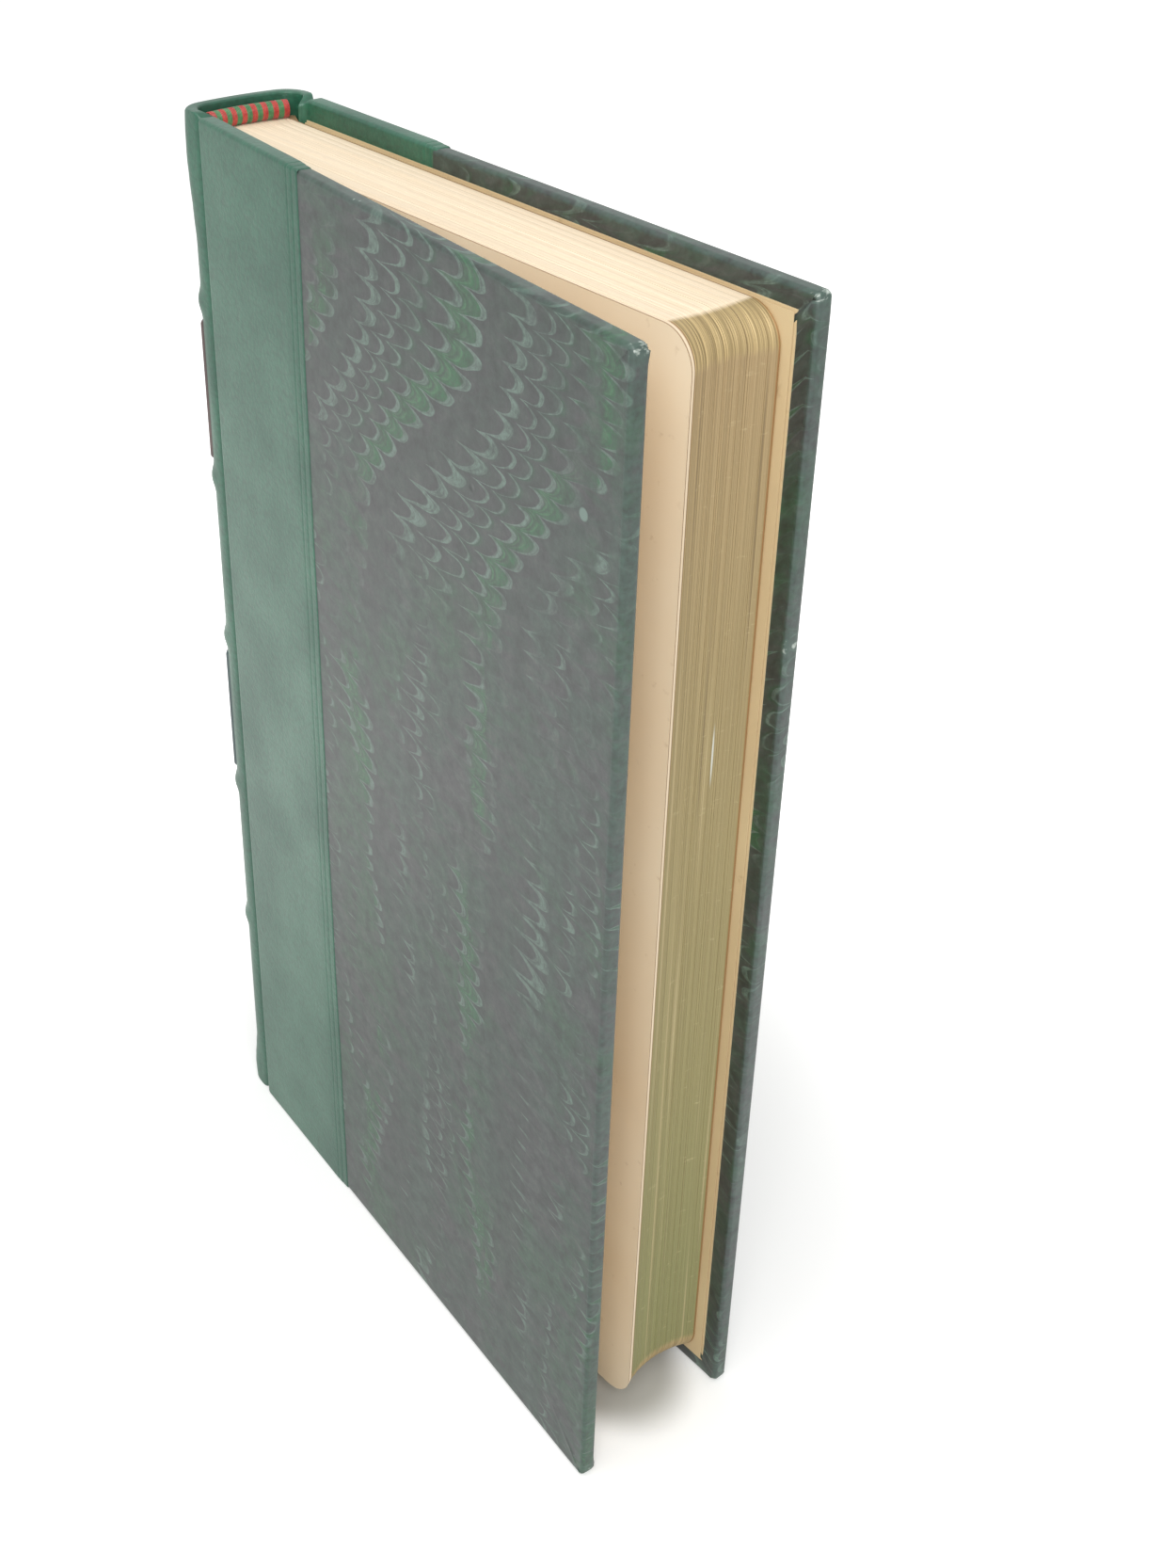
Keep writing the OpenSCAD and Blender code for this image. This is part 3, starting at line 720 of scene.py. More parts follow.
def wear_and_highlight_at(side, part, u, z, near, inside):
    """How much a place is rubbed, with a painted highlight on the rounded edges: corners and edges, and
    some places of their own.
    """
    wear_and_highlight = CORNER_WEAR * near
    if inside < EDGE_R + 0.1:
        place = z if part == "fore" else u
        wear_and_highlight += EDGE_WEAR_AND_HIGHLIGHT + sum(
            much * math.exp(-(((place - at) / half) ** 2))
            for where, at, half, much in RUBBED[side]
            if where == part
        )
    return wear_and_highlight


def marbled_sheet(side, material):
    low_u = LEATHER_W[side] - SHEET_LAP
    rings, line = ring_profile(), outline()
    rng = random.Random(5 if side == "front" else 6)
    bulges = [[rng.uniform(-0.1, 0.16) for _ in line] for _ in range(3)]
    points, sheet, wear_and_highlight, seam = [], [], [], []
    for number, (inside, v, out) in enumerate(rings):
        for k, point in enumerate(line):
            part = point[0]
            u, z = on_outline(point, low_u, -inside)
            from_end = min(z - PAPER_LOW, BOARD_H - PAPER_LOW - z)
            near = corner_share(u, from_end)
            depth = v + bulges[number % 3][k] * near * ((v < FACE_V) - (v > TURNED_V))
            # on the turn-in the fore side laps the other at the mitre
            gap = from_end - inside
            if v > TURNED_V and part == "fore":
                depth += FOLD_H * ease(1 - gap / FOLD_REACH)
            # the mitre's line gets a painted line of shade
            mitre = out > MITRE_OUT and ("corner" in part or part == "fore" and gap < MITRE_GAP)
            points.append(cover_point[side](u, depth, z))
            sheet.append(on_outline(point, low_u, out))
            wear_and_highlight.append(wear_and_highlight_at(side, part, u, z, near, inside))
            seam.append(1.0 if mitre else 0.0)
    n = len(line)
    faces = between_lines(len(rings), n)
    # the flat face inside the first ring: columns between the head and the tail, level with the fore side
    first_fore, inner = line.index(("fore", 0.0)), LONG - 1
    columns = []
    for k in range(SHORT):
        start = len(points)
        u = on_outline(line[k], low_u, -FACE_RINGS[0])[0]
        for j in range(1, LONG):
            z = on_outline(line[first_fore + j], low_u, -FACE_RINGS[0])[1]
            points.append(cover_point[side](u, PAPER_V, z))
            sheet.append((u, z))
        columns.append([k, *range(start, start + inner), n - 1 - k])
    columns.append([SHORT, *range(first_fore + 1, first_fore + LONG), n - 1 - SHORT])
    wear_and_highlight += [0.0] * (len(points) - len(wear_and_highlight))
    seam += [0.0] * (len(points) - len(seam))
    for left, right in zip(columns, columns[1:]):
        faces += [(left[j + 1], right[j + 1], right[j], left[j]) for j in range(LONG)]
    if side == "front":
        faces = [face[::-1] for face in faces]
    piece = new_piece(f"{side}_marbled_sheet", points, faces, material)
    uvs = piece.data.uv_layers.new(name="sheet")
    uvs.uv.foreach_set("vector", [c for loop in piece.data.loops for c in sheet[loop.vertex_index]])
    for name, values in (("wear_and_highlight", wear_and_highlight), ("seam", seam)):
        piece.data.attributes.new(name, "FLOAT", "POINT").data.foreach_set("value", values)
    return piece


front_sheet = marbled_sheet("front", front_marbled)
back_sheet = marbled_sheet("back", back_marbled)

# %% [markdown]
# ### The boards in the covers
# A binder blunts the corners of the millboard before covering, or they would cut the paper. The board
# is seen nowhere, and its blunt corners give the sheet room to turn.

# %% The millboards
BOARD_U, BOARD_V, BOARD_Z, BLUNT_R = (0.8, 126.25), (0.6, 3.1), (0.6, 224.4), 1.3


def blunt_board(side, material):
    (low_u, end), (low, high) = BOARD_U, BOARD_Z
    line = [(low_u, low), (low_u, high)]
    for z, start in ((high - BLUNT_R, math.pi / 2), (low + BLUNT_R, 0.0)):
        line += [(u, w) for u, w, _ in arc(end - BLUNT_R, z, BLUNT_R, start, start - math.pi / 2, 6)]
    n = len(line)
    points = [cover_point[side](u, v, z) for v in BOARD_V for u, z in line]
    faces = [tuple(range(n)), tuple(range(2 * n - 1, n - 1, -1))]
    faces += [(k, n + k, n + (k + 1) % n, (k + 1) % n) for k in range(n)]
    if side == "back":
        faces = [face[::-1] for face in faces]
    return new_piece(f"{side}_blunt_millboard", points, faces, material, smooth=False)


# %% [markdown]
# ## Pages
# The pages are one sewn block, cut round at the fore-edge corners. The head shows the edges of plain
# cream paper. The fore-edge was gilded in the press long ago: the gold has dulled, and it shows the
# pages under it as fine upright lines. A few blank leaves at the front were left ungilt, and the gold
# is darker and thicker on the rounded corners, where it was laid on by hand.

# %% Sizes of the block
BLOCK_T, SQUARE, BLOCK_W, CORNER_R, HOLLOW, FAN = 16.4, 4.0, 120.75, 6.2, 2.0, math.radians(0.25)
SHOULDER_DEPTH, SPINE_ROUND, PAGE_SHOULDER_Y = 4.2, 1.0, JOINT_Y - 0.6 - 1.0 - 1.1
FORE_HALF = BLOCK_T / 2 + BLOCK_W * math.tan(FAN)
FORE_R = (FORE_HALF**2 + HOLLOW**2) / (2 * HOLLOW)
PAGE_R = (PAGE_SHOULDER_Y**2 + SPINE_ROUND**2) / (2 * SPINE_ROUND)
PAGE_APEX = SHOULDER_DEPTH + SPINE_ROUND
UNGILT = 1.1
# One leaf gapes on the fore-edge: its place across and up, and half its width and height
SLIT_AT, SLIT_SIZE = (3.0, 147.4), (0.2, 6.5)
print(f"block {BLOCK_W} x {BOARD_H - 2 * SQUARE} mm, its fore-edge hollow has a radius of {FORE_R:.1f} mm")

# %% The cut edges of the pages


def old_gold(tree, where, z, leaf, gather):
    """Dull gold, painted darker down the book as shade below the light from above and greener there, with
    lines between the leaves and scratches across.
    """
    # painted shade: the gold darkens towards the tail
    down = add(tree, RANGE, [z, 215.0, 30.0])
    gold = add(tree, MIX, [down, "#a9926c", "#8d8b5d"], data_type="RGBA")
    gold = stain(tree, gold, leaf, 0.5, 0.3, 0.4, "#7d6c48", **SMOOTH)
    gold = stain(tree, gold, gather, 0.36, 0.3, 0.55, "#5f4f35", **SMOOTH)
    gold = stain(tree, gold, gather, 0.6, 0.68, 0.45, "#cdbb92", **SMOOTH)
    across = add(tree, MAPPING, {"Vector": where, "Scale": (0.5, 0.3, 1.1)})
    scratch = add(tree, NOISE, [across, 1.0, 5.0, 0.7])
    gold = stain(tree, gold, scratch, 0.62, 0.74, 0.4, "#d8c8a0")
    # darker, thicker gold on the rounded corners, streaked along the leaves
    middle = add(tree, MATH, [z, -BOARD_H / 2], operation="ADD")
    middle = add(tree, MATH, [middle], operation="ABSOLUTE")
    ragged = add(tree, MATH, [leaf, 2.5, middle], operation="MULTIPLY_ADD")
    corner = add(tree, RANGE, [ragged, 103.2, 104.4])
    thick = stain(tree, "#8d7a54", leaf, 0.36, 0.62, 1.0, "#c2ab7c")
    return add(tree, MIX, [corner, gold, thick], data_type="RGBA")


def leaf_shadow_lines(tree, x, y, fore):
    """How much a place gets a painted shadow line: along the outermost leaves, or where the gold begins."""
    across = add(tree, MATH, [y], operation="ABSOLUTE")
    across = add(tree, MATH, [x, -math.tan(FAN), across], operation="MULTIPLY_ADD")
    edge = add(tree, RANGE, [across, BLOCK_T / 2 - 0.3, BLOCK_T / 2 - 0.18, 0.0, 0.85])
    first = add(tree, MATH, [y, FORE_HALF - UNGILT], operation="ADD")
    first = add(tree, MATH, [first], operation="ABSOLUTE")
    first = add(tree, RANGE, [first, 0.2, 0.1, 0.0, 0.85])
    first = add(tree, MATH, [first, fore], operation="MULTIPLY")
    return add(tree, MATH, [edge, first], operation="MAXIMUM")


def gaping_leaf(tree, where, gilt):
    """1 where one leaf of the gilt edge gapes, and pale light is painted where it shows through the gap."""
    slit = add(tree, VECTOR, [where, (0, *SLIT_AT)], operation="SUBTRACT")
    slit = add(tree, VECTOR, [slit, (1e6, *SLIT_SIZE)], operation="DIVIDE")
    slit = add(tree, VECTOR, [slit], operation="LENGTH")
    slit = add(tree, RANGE, [slit, 1.0, 0.5])
    return add(tree, MATH, [slit, gilt], operation="MULTIPLY")


def page_edges():
    """The cut edges: leaves seen end on, so every pattern is a line along the leaves."""
    material, tree, shader = new_material("cream_page_edges_with_old_gilt", 0.55)
    where = in_millimetres(tree, (-JOINT_X, -MIDDLE_Y, 0))
    x, y, z = add(tree, "ShaderNodeSeparateXYZ", [where]).outputs
    # leaves of 0.1 mm in gatherings of about 2 mm
    lines = add(tree, MAPPING, {"Vector": where, "Scale": (0.025, 4.5, 0.016)})
    leaf = add(tree, NOISE, [lines, 1.0, 4.0])
    gathers = add(tree, MAPPING, {"Vector": where, "Scale": (0.008, 0.9, 0.006)})
    gather = add(tree, NOISE, [gathers, 1.0, 2.0])
    # the head and the tail: lines are faint at the spine and clearer towards the fore-edge
    clearer = add(tree, RANGE, [x, 0.0, 115.0, 0.25, 0.4])
    shade = add(tree, RANGE, [leaf, 0.42, 0.68, 1.0, 0.0], **SMOOTH)
    shade = add(tree, MATH, [shade, clearer], operation="MULTIPLY")
    cream = add(tree, MIX, [shade, "#f4e3c9", "#dcc29b"], data_type="RGBA")
    # the gold begins at the rounded corners, and not on the first leaves
    fore = add(tree, RANGE, [x, BLOCK_W - CORNER_R - 0.4, BLOCK_W - CORNER_R + 0.5])
    later = add(tree, RANGE, [y, UNGILT - FORE_HALF, UNGILT - FORE_HALF + 0.1])
    gilt = add(tree, MATH, [fore, later], operation="MULTIPLY")
    gold = old_gold(tree, where, z, leaf, gather)
    colour = add(tree, MIX, [gilt, cream, gold], data_type="RGBA")
    # painted shadow: thin brown lines at the outermost leaves and where the gold begins
    brown = leaf_shadow_lines(tree, x, y, fore)
    colour = add(tree, MIX, [brown, colour, "#8a6335"], data_type="RGBA")
    slit = gaping_leaf(tree, where, gilt)
    # painted light: a pale slit where light shows through the gaping leaf
    colour = add(tree, MIX, [slit, colour, "#d4d6cd"], data_type="RGBA")
    metal = add(tree, MATH, [gilt, 0.25], operation="MULTIPLY")
    relief = add(tree, MATH, [gather, 1.5, leaf], operation="MULTIPLY_ADD")
    finish_surface(tree, shader, colour, relief, 0.35, 0.1, Metallic=metal)
    return material


# %% Paper seen flat


def smooth_paper(name, code, darker, fleck):
    """Sized paper: even, with slow clouds and faint brown flecks of age."""
    material, tree, shader = new_material(name, 0.6)
    where = in_millimetres(tree)
    cloud = add(tree, NOISE, [where, 0.02, 4.0])
    colour = stain(tree, darker, cloud, 0.3, 0.7, 1.0, code)
    spots = add(tree, NOISE, [where, 0.35, 5.0])
    colour = stain(tree, colour, spots, 0.64, 0.8, 0.5, fleck)
    fibre = add(tree, NOISE, [where, 1.5, 4.0])
    finish_surface(tree, shader, colour, fibre, 0.2, 0.03)
    return material


page_edge = page_edges()
flyleaf = smooth_paper("cream_flyleaf", "#fbecd2", "#f4dfbf", "#b99a70")
endpaper = smooth_paper("smooth_cream_endpaper", "#dfc99f", "#d2b98f", "#a98a62")
print("materials:", page_edge.name, flyleaf.name, endpaper.name)

# %% [markdown]
# ### The block
# The block is drawn leaf by leaf: one outline of a page, repeated across the thickness. No two leaves
# are cut quite alike, so each steps in or out by a few hundredths of a millimetre, which is what
# catches the light on real page edges.

# %% The block of pages
LEAVES, LEAF_STEP = 150, 0.045
# Steps of a leaf's outline: places at the spine, then along the head, round a corner, down the fore-edge
SPINE_STOPS = (0.05 - PAGE_APEX, -5.0, -4.6, -SHOULDER_DEPTH, -2, 0)
HEAD_STEPS, CORNER_STEPS, FORE_STEPS = 40, 14, 60
# The hollow is drawn into the leaves from here on, and the leaves step in and out over the last few mm
HOLLOW_FROM, RAGGED_W = 60, 12
# Near head and tail they step up and down by this share, in full up to 100 mm from the joints
RISE, RISE_AT, RISE_HALF_W, NEAR_END = 0.6, 50, 50, 12.5


def half_width(x):
    """Half of the block's thickness at a distance from the joint."""
    if x >= 0:
        return BLOCK_T / 2 + x * math.tan(FAN)
    if x >= -SHOULDER_DEPTH:
        return BLOCK_T / 2 + (PAGE_SHOULDER_Y - BLOCK_T / 2) * -x / SHOULDER_DEPTH
    return math.sqrt(max(0.0, PAGE_R**2 - (PAGE_R - PAGE_APEX - x) ** 2))


def leaf_outline():
    """Half of a leaf's outline, from the spine at the head to the middle of the fore-edge."""
    high = BOARD_H - SQUARE
    path = [(x, high) for x in SPINE_STOPS]
    path += [(k * (BLOCK_W - CORNER_R) / HEAD_STEPS, high) for k in range(1, HEAD_STEPS + 1)]
    for k in range(1, CORNER_STEPS + 1):
        a = math.pi / 2 * (1 - k / CORNER_STEPS)
        x, z = CORNER_R * math.cos(a), CORNER_R * math.sin(a)
        path.append((BLOCK_W - CORNER_R + x, high - CORNER_R + z))
    last_arc = len(path) - 1
    tall = high - SQUARE - 2 * CORNER_R
    path += [(BLOCK_W, high - CORNER_R - tall / 2 * k / FORE_STEPS) for k in range(1, FORE_STEPS + 1)]
    return path, last_arc


def page_block():
    rng = random.Random(7)
    path, last_arc = leaf_outline()
    path += [(x, BOARD_H - z) for x, z in path[-2::-1]]
    n, points, faces = len(path), [], []
    steps = [rng.gauss(0, LEAF_STEP) for _ in range(LEAVES + 1)]
    for k in range(LEAVES + 1):
        t = -1 + 2 * k / LEAVES
        pull = FORE_R - HOLLOW - math.sqrt(FORE_R**2 - (FORE_HALF * t) ** 2)
        for x, z in path:
            shift = pull * ease((x - HOLLOW_FROM) / (BLOCK_W - HOLLOW_FROM))
            shift += steps[k] * ease((x - BLOCK_W + RAGGED_W) / RAGGED_W)
            rise = steps[-k] * RISE * ease(2 - abs(x - RISE_AT) / RISE_HALF_W)
            rise *= (z > BOARD_H - NEAR_END) - (z < NEAR_END)
            points.append(spine_point(x + (shift if x > 0 else 0.0), half_width(x) * t, z + rise))
    for k in range(LEAVES):
        for j in range(n):
            a, b = k * n + j, k * n + (j + 1) % n
            faces.append((a, a + n, b + n, b))
    edge_faces = len(faces)
    for base, turned in ((0, False), (LEAVES * n, True)):
        sides = [(base + i, base + i + 1, base + n - 2 - i, base + n - 1 - i) for i in range(last_arc - 1)]
        sides.append(tuple(base + i for i in range(last_arc - 1, n - last_arc + 1)))
        faces += [face[::-1] if turned else face for face in sides]
    piece = new_piece("page_block", points, faces, page_edge, smooth=False)
    piece.data.materials.append(flyleaf)
    for face in piece.data.polygons[edge_faces:]:
        face.material_index = 1
    return piece


pages = page_block()

# %% [markdown]
# ## Endbands
# Red and green silk is wound by turns round a core, at head and tail. Each turn of thread is a small
# ring round the core, so one ring is made and placed along the curve of the spine: four rings to a
# stripe. The tree has inputs for the sizes, so that another book needs other numbers and not another
# tree. A second run with the other colour's number makes the other stripes.

# %% Silk materials


def silk(name, code, sheen):
    """Wound silk: a soft thread with bright long highlights and fine lines along it."""
    material, tree, shader = new_material(name, 0.42, Sheen_Weight=0.4, Sheen_Roughness=0.4)
    where = in_millimetres(tree)
    noise = add(tree, NOISE, [where, 1.3, 3.0])
    colour = stain(tree, code, noise, 0.35, 0.65, 1.0, sheen)
    waves = {"Vector": where, "Scale": 2.2, "Distortion": 1.5}
    ply = add(tree, "ShaderNodeTexWave", waves, bands_direction="DIAGONAL").outputs["Fac"]
    finish_surface(tree, shader, colour, ply, 0.3, 0.05)
    return material


red_silk = silk("red_wound_silk", "#a92d28", "#c04338")
green_silk = silk("green_wound_silk", "#3a6f42", "#4f8755")
print("materials:", red_silk.name, green_silk.name)

# %% The winding as a node tree
ENDBAND_H, ENDBAND_D, STRIPES, TURNS = 3.3, 2.8, 15, 4
ENDBAND_R = PAGE_R + 0.4 - ENDBAND_D / 2
HALF_ANGLE = math.asin(BLOCK_T / 2 / ENDBAND_R)
THREAD_R = 0.15
WINDING = {
    "Radius": ENDBAND_R * MM,
    "Half Angle": HALF_ANGLE,
    "Height": ENDBAND_H * MM,
    "Depth": ENDBAND_D * MM,
    "Thread Radius": THREAD_R * MM,
    "Stripes": STRIPES,
    "Turns": TURNS,
}


def one_turn(tree, given):
    """One turn of thread. A stadium would be exact, and an ellipse is as close as the silk lies."""
    circle = add(tree, "GeometryNodeCurvePrimitiveCircle", {"Resolution": 28, "Radius": 1.0})
    halves = []
    for size in ("Depth", "Height"):
        half = add(tree, MATH, [given[size], 0.5], operation="MULTIPLY")
        halves.append(add(tree, MATH, [half, given["Thread Radius"]], operation="SUBTRACT"))
    shape = add(tree, "ShaderNodeCombineXYZ", [*halves, 1.0])
    ring = add(tree, "GeometryNodeTransform", {"Geometry": circle, "Scale": shape})
    ring = add(tree, "GeometryNodeTransform", {"Geometry": ring, "Rotation": (math.pi / 2, 0, 0)})
    thin = {"Resolution": 7, "Radius": given["Thread Radius"]}
    section = add(tree, "GeometryNodeCurvePrimitiveCircle", thin)
    return add(tree, "GeometryNodeCurveToMesh", {"Curve": ring, "Profile Curve": section})


def winding_tree():
    tree = bpy.data.node_groups.new("silk winding", "GeometryNodeTree")
    tree.interface.new_socket("Geometry", in_out="OUTPUT", socket_type="NodeSocketGeometry")
    for name, value in {**WINDING, "Colour": 0, "Silk": "Material"}.items():
        kind = {float: "Float", int: "Int"}.get(type(value), value)
        tree.interface.new_socket(name, in_out="INPUT", socket_type="NodeSocket" + kind)
    given = add(tree, "NodeGroupInput").outputs
    thread = one_turn(tree, given)
    # the angle of each turn, from the front to the back, round the middle of the page curve
    count = add(tree, MATH, [given["Stripes"], given["Turns"]], operation="MULTIPLY")
    number = add(tree, "GeometryNodeInputIndex")
    share = add(tree, MATH, [number, 0.5], operation="ADD")
    share = add(tree, MATH, [share, count], operation="DIVIDE")
    share = add(tree, MATH, [share, 2.0, -1.0], operation="MULTIPLY_ADD")
    angle = add(tree, MATH, [share, given["Half Angle"]], operation="MULTIPLY")
    # its place, in front of the centre by the cosine and to the side by the sine
    out = add(tree, MATH, [angle], operation="COSINE")
    out = add(tree, MATH, [out, given["Radius"]], operation="MULTIPLY")
    out = add(tree, MATH, [out, -1.0], operation="MULTIPLY")
    across = add(tree, MATH, [angle], operation="SINE")
    across = add(tree, MATH, [across, given["Radius"]], operation="MULTIPLY")
    place = add(tree, "ShaderNodeCombineXYZ", [out, across, 0.0])
    turns = add(tree, "GeometryNodePoints", {"Count": count, "Position": place, "Radius": 0.001})
    # only the stripes of this run's colour
    stripe = add(tree, MATH, [number, given["Turns"]], operation="DIVIDE")
    stripe = add(tree, MATH, [stripe], operation="FLOOR")
    stripe = add(tree, MATH, [stripe, 2.0], operation="MODULO")
    wanted = add(tree, MATH, [stripe, given["Colour"], 0.1], operation="COMPARE")
    back = add(tree, MATH, [angle, -1.0], operation="MULTIPLY")
    spin = add(tree, "ShaderNodeCombineXYZ", [0.0, 0.0, back])
    placed = {"Points": turns, "Selection": wanted, "Instance": thread, "Rotation": spin}
    rings = add(tree, "GeometryNodeInstanceOnPoints", placed)
    real = add(tree, "GeometryNodeRealizeInstances", [rings])
    dressed = add(tree, "GeometryNodeSetMaterial", {"Geometry": real, "Material": given["Silk"]})
    add(tree, "NodeGroupOutput", [dressed])
    return tree


def wound_silk(name, tree, z, colour, material):
    """Runs the tree, moves the result to its place on the spine and keeps a plain mesh."""
    mesh = bpy.data.meshes.new(name)
    source = bpy.data.objects.new(name + "_source", mesh)
    bpy.context.scene.collection.objects.link(source)
    modifier = source.modifiers.new("winding", "NODES")
    modifier.node_group = tree
    values = {**WINDING, "Colour": colour, "Silk": material}
    for item in tree.interface.items_tree:
        if item.name in values:
            modifier[item.identifier] = values[item.name]
    evaluated = source.evaluated_get(bpy.context.evaluated_depsgraph_get())
    made = bpy.data.meshes.new_from_object(evaluated)
    made.transform(Matrix.Translation(spine_point(PAGE_R - PAGE_APEX, 0, z)))
    bpy.data.objects.remove(source)
    made.polygons.foreach_set("use_smooth", [True] * len(made.polygons))
    piece = bpy.data.objects.new(name, made)
    bpy.context.scene.collection.objects.link(piece)
    print(name, len(made.polygons), "faces")
    return piece


winding = winding_tree()
threads = {}
for end, z in (("head", BOARD_H - SQUARE + ENDBAND_H / 2), ("tail", SQUARE - ENDBAND_H / 2)):
    for number, (colour, material) in enumerate((("red", red_silk), ("green", green_silk))):
        threads[end, colour] = wound_silk(f"{end}_{colour}_silk_turns", winding, z, number, material)

# %% [markdown]
# ## Boards, linings and fillers
# These pieces are hidden, or show only at a cut edge, and their solids are right as they are. Each is
# a plain stuff with a grain of its own: grey pulp board, brown kraft paper, starched cotton, strips of
# undyed leather under the raised bands, rolled paper inside the endbands.

# %% Plain stuffs, and the CAD nodes that keep their shape


def plain_stuff(name, code, roughness, grain):
    """grain is the size of the fibres or flecks in millimetres."""
    material, tree, shader = new_material(name, roughness)
    where = in_millimetres(tree)
    noise = add(tree, NOISE, [where, 1 / grain, 4.0])
    darker = [0.7 * c for c in linear(code)[:3]] + [1.0]
    colour = add(tree, MIX, [noise, darker, code], data_type="RGBA")
    finish_surface(tree, shader, colour, noise, 0.3, 0.05)
    return material


stuffs = {
    plain_stuff("thin_filler_card", "#c9c2b2", 0.85, 0.6): ("front_infill", "back_infill"),
    plain_stuff("brown_kraft_paper", "#a5835a", 0.85, 0.5): ("paper_hollow",),
    plain_stuff("starched_cotton", "#e3dcc8", 0.9, 0.4): ("spine_lining",),
    plain_stuff("undyed_leather_strip", "#8a6a4a", 0.8, 0.9): [f"raised_band_{k}" for k in range(1, 6)],
    plain_stuff("rolled_paper_core", "#cbb994", 0.85, 0.5): ("head_endband_core", "tail_endband_core"),
    endpaper: ("front_endpaper", "back_endpaper"),
}
for material, names in stuffs.items():
    for name in names:
        coats = frame["nodes"][name].data.materials
        coats.clear()
        coats.append(material)
print(sum(len(names) for names in stuffs.values()), "CAD nodes dressed")

millboard = plain_stuff("grey_millboard", "#9a8f7c", 0.9, 0.8)
boards = {side: blunt_board(side, millboard) for side in ("front", "back")}

# %% [markdown]
# ## The studio
# The book stands on a white sweep under soft light from above and from the right. The sweep is a pale
# matt floor. It is lit up for the camera and for reflections alone, and not at all in the gap between
# the covers, where its colour is also painted darker as the book's shadow.

# %% The floor and the world
# The gap between the covers, where the floor is painted darker as the book's shadow: its place and size in
# metres, and its fade
GAP_AT, GAP_SIZE, GAP_FADE = (0.040, 0.003, 0.0), (0.020, 0.012, 1.0), (1.02, 1.6)
# Glow of the sweep beside the book and farther out, with the distances between which it rises
FLOOR_GLOW, GLOW_RISE, GLOW_FALL = (0.3, 0.9), (0.07, 0.2), (0.35, 0.8, 1.0, 0.65)


def seen_directly(tree):
    """1 for rays from the camera and their reflections, and 0 for the light on the object."""
    ray = add(tree, "ShaderNodeLightPath")
    seen = ray.outputs["Is Camera Ray"]
    for other in ("Is Glossy Ray", "Is Transmission Ray"):
        seen = add(tree, MATH, [seen, ray.outputs[other]], operation="MAXIMUM")
    return seen


def white_sweep():
    material, tree, shader = new_material("matt_white_sweep", 1.0, Emission_Color=(1, 1, 1, 1))
    here = add(tree, "ShaderNodeTexCoord").outputs["Object"]
    where = add(tree, VECTOR, [here, GAP_AT], operation="SUBTRACT")
    where = add(tree, VECTOR, [where, GAP_SIZE], operation="DIVIDE")
    away = add(tree, VECTOR, [where], operation="LENGTH")
    outside = add(tree, RANGE, [away, *GAP_FADE], **SMOOTH)
    far = add(tree, VECTOR, [here], operation="LENGTH")
    glow = add(tree, RANGE, [far, *GLOW_RISE, *FLOOR_GLOW], **SMOOTH)
    for share in (add(tree, RANGE, [far, *GLOW_FALL], **SMOOTH), outside, seen_directly(tree)):
        glow = add(tree, MATH, [share, glow], operation="MULTIPLY")
    # painted shadow: the floor's colour is darker in the gap between the covers
    colour = add(tree, MIX, [outside, "#bdbdb7", "#ececea"], data_type="RGBA")
    connect(tree, shader, {"Base Color": colour, "Emission Strength": glow})
    return material


FLOOR = 4.0
corners = [(-FLOOR, -FLOOR, 0), (FLOOR, -FLOOR, 0), (FLOOR, FLOOR, 0), (-FLOOR, FLOOR, 0)]
new_piece("floor", corners, [(0, 1, 2, 3)], white_sweep(), smooth=False)

WORLD_LIGHT = 0.52
world = bpy.data.worlds.new("white studio")
bpy.context.scene.world = world
world.use_nodes = True
sky = world.node_tree
strength = add(sky, MATH, [seen_directly(sky), 1 - WORLD_LIGHT, WORLD_LIGHT], operation="MULTIPLY_ADD")
sky.nodes["Background"].inputs["Color"].default_value = (1, 1, 1, 1)
connect(sky, sky.nodes["Background"], {"Strength": strength})
print("floor glow", FLOOR_GLOW, "light of the world", WORLD_LIGHT)

# %% The lamps


def soft_lamp(name, at, aim, size, power):
    lamp = bpy.data.lights.new(name, "AREA")
    lamp.size = size
    lamp.energy = power
    holder = bpy.data.objects.new(name, lamp)
    holder.location = at
    holder.rotation_euler = (Vector(aim) - Vector(at)).to_track_quat("-Z", "Y").to_euler()
    bpy.context.scene.collection.objects.link(holder)
    print(name, "lamp,", power, "W")


soft_lamp("key", (0.50, -0.36, 0.60), (0, 0, 0.16), 0.45, 3.4)
soft_lamp("overhead", (0.05, -0.32, 0.85), (0, 0, 0.16), 0.6, 2.0)

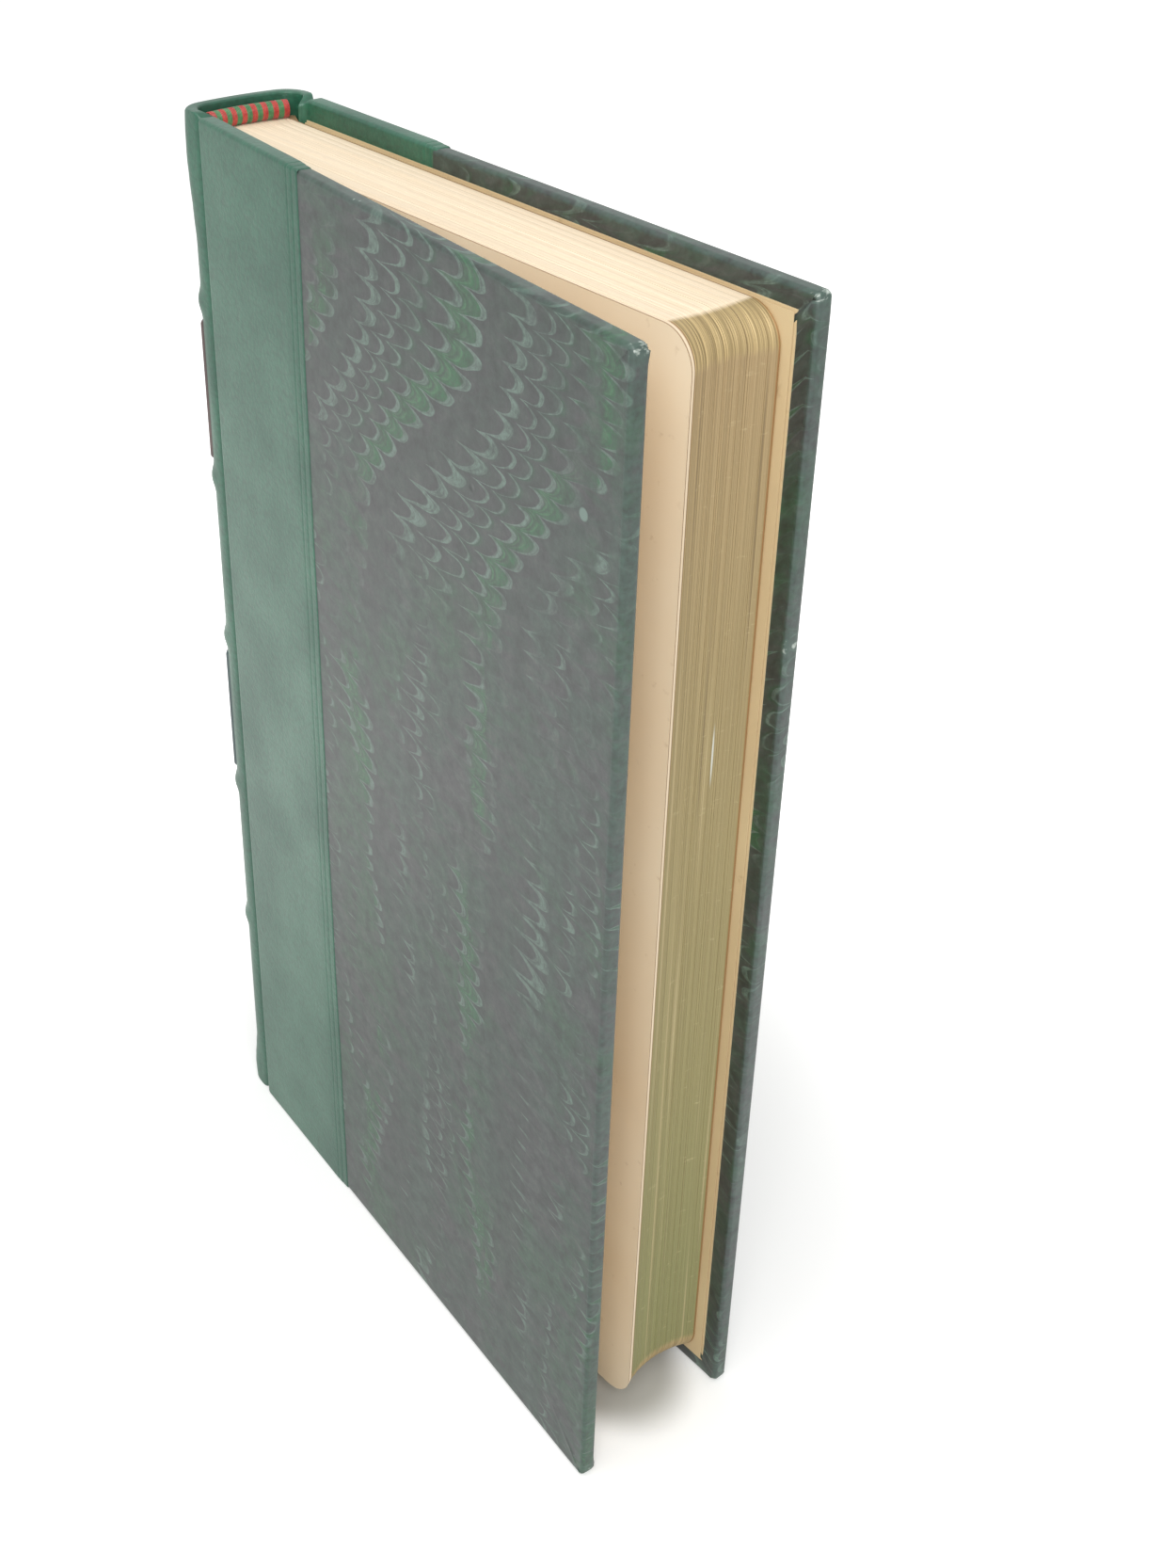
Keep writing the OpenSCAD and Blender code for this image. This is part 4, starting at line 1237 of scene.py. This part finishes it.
# %% [markdown]
# ## The camera
# The photograph's camera was found from the corners of the boards: it stands above the open fore-edge
# corner and looks down a third of the way, close enough for the book to narrow towards its tail. The
# small shift stands for the photograph having been cropped.

# %% The camera
YAW, PITCH, ROLL = math.radians(137.788), math.radians(31.02), math.radians(2.089)
EYE = spine_point(295.3, -184.0, 313.3)
camera_data = bpy.data.cameras.new("camera")
camera_data.sensor_fit = "VERTICAL"
camera_data.sensor_height = 36.0
camera_data.lens = 44.01
camera_data.shift_x, camera_data.shift_y = -0.0053, -0.0612
camera_data.clip_start = 0.01
camera = bpy.data.objects.new("camera", camera_data)
forward = Vector((math.cos(PITCH) * math.cos(YAW), math.cos(PITCH) * math.sin(YAW), -math.sin(PITCH)))
right = forward.cross(Vector((0, 0, 1))).normalized()
up = right.cross(forward)
c, s = math.cos(ROLL), math.sin(ROLL)
right, up = c * right + s * up, c * up - s * right
camera.matrix_world = Matrix.Translation(EYE) @ Matrix((right, up, -forward)).transposed().to_4x4()
bpy.context.scene.collection.objects.link(camera)
bpy.context.scene.camera = camera
bpy.context.scene.view_settings.view_transform = "Standard"
print("camera at", tuple(round(c, 3) for c in EYE), "m")

# %% [markdown]
# ## What moves with what
# The leather bends in the joints, in a strip about 3 mm wide. Here each skin is left in place in the
# model's frame, and the limits of that strip beside its hinge are worked out but not used. All else is
# rigid and rides on its body.

# %% Tie the pieces to the bodies
BEND_START, BEND_END = -1.7 * MM, 1.4 * MM
for skin, sheet, side in ((front_skin, front_sheet, "front"), (back_skin, back_sheet, "back")):
    cover = f"{side}_cover"
    hinge = Vector(hinges[cover]["pos_m"])
    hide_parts(f"{side}_leather")
    start, end = hinge + Vector((BEND_START, 0, 0)), hinge + Vector((BEND_END, 0, 0))
    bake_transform(skin)
    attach(sheet, cover)
    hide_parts(f"{side}_marbled_paper")
    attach(boards[side], cover)
    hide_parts(f"{side}_board")
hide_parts("spine_leather")
for place, label in labels.items():
    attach(label, "text_block")
    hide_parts(f"{place}_label")
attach(pages, "text_block")
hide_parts("text_block")
for (end, colour), turns in threads.items():
    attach(turns, "text_block")
    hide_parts(f"{end}_endband_{colour}_silk")
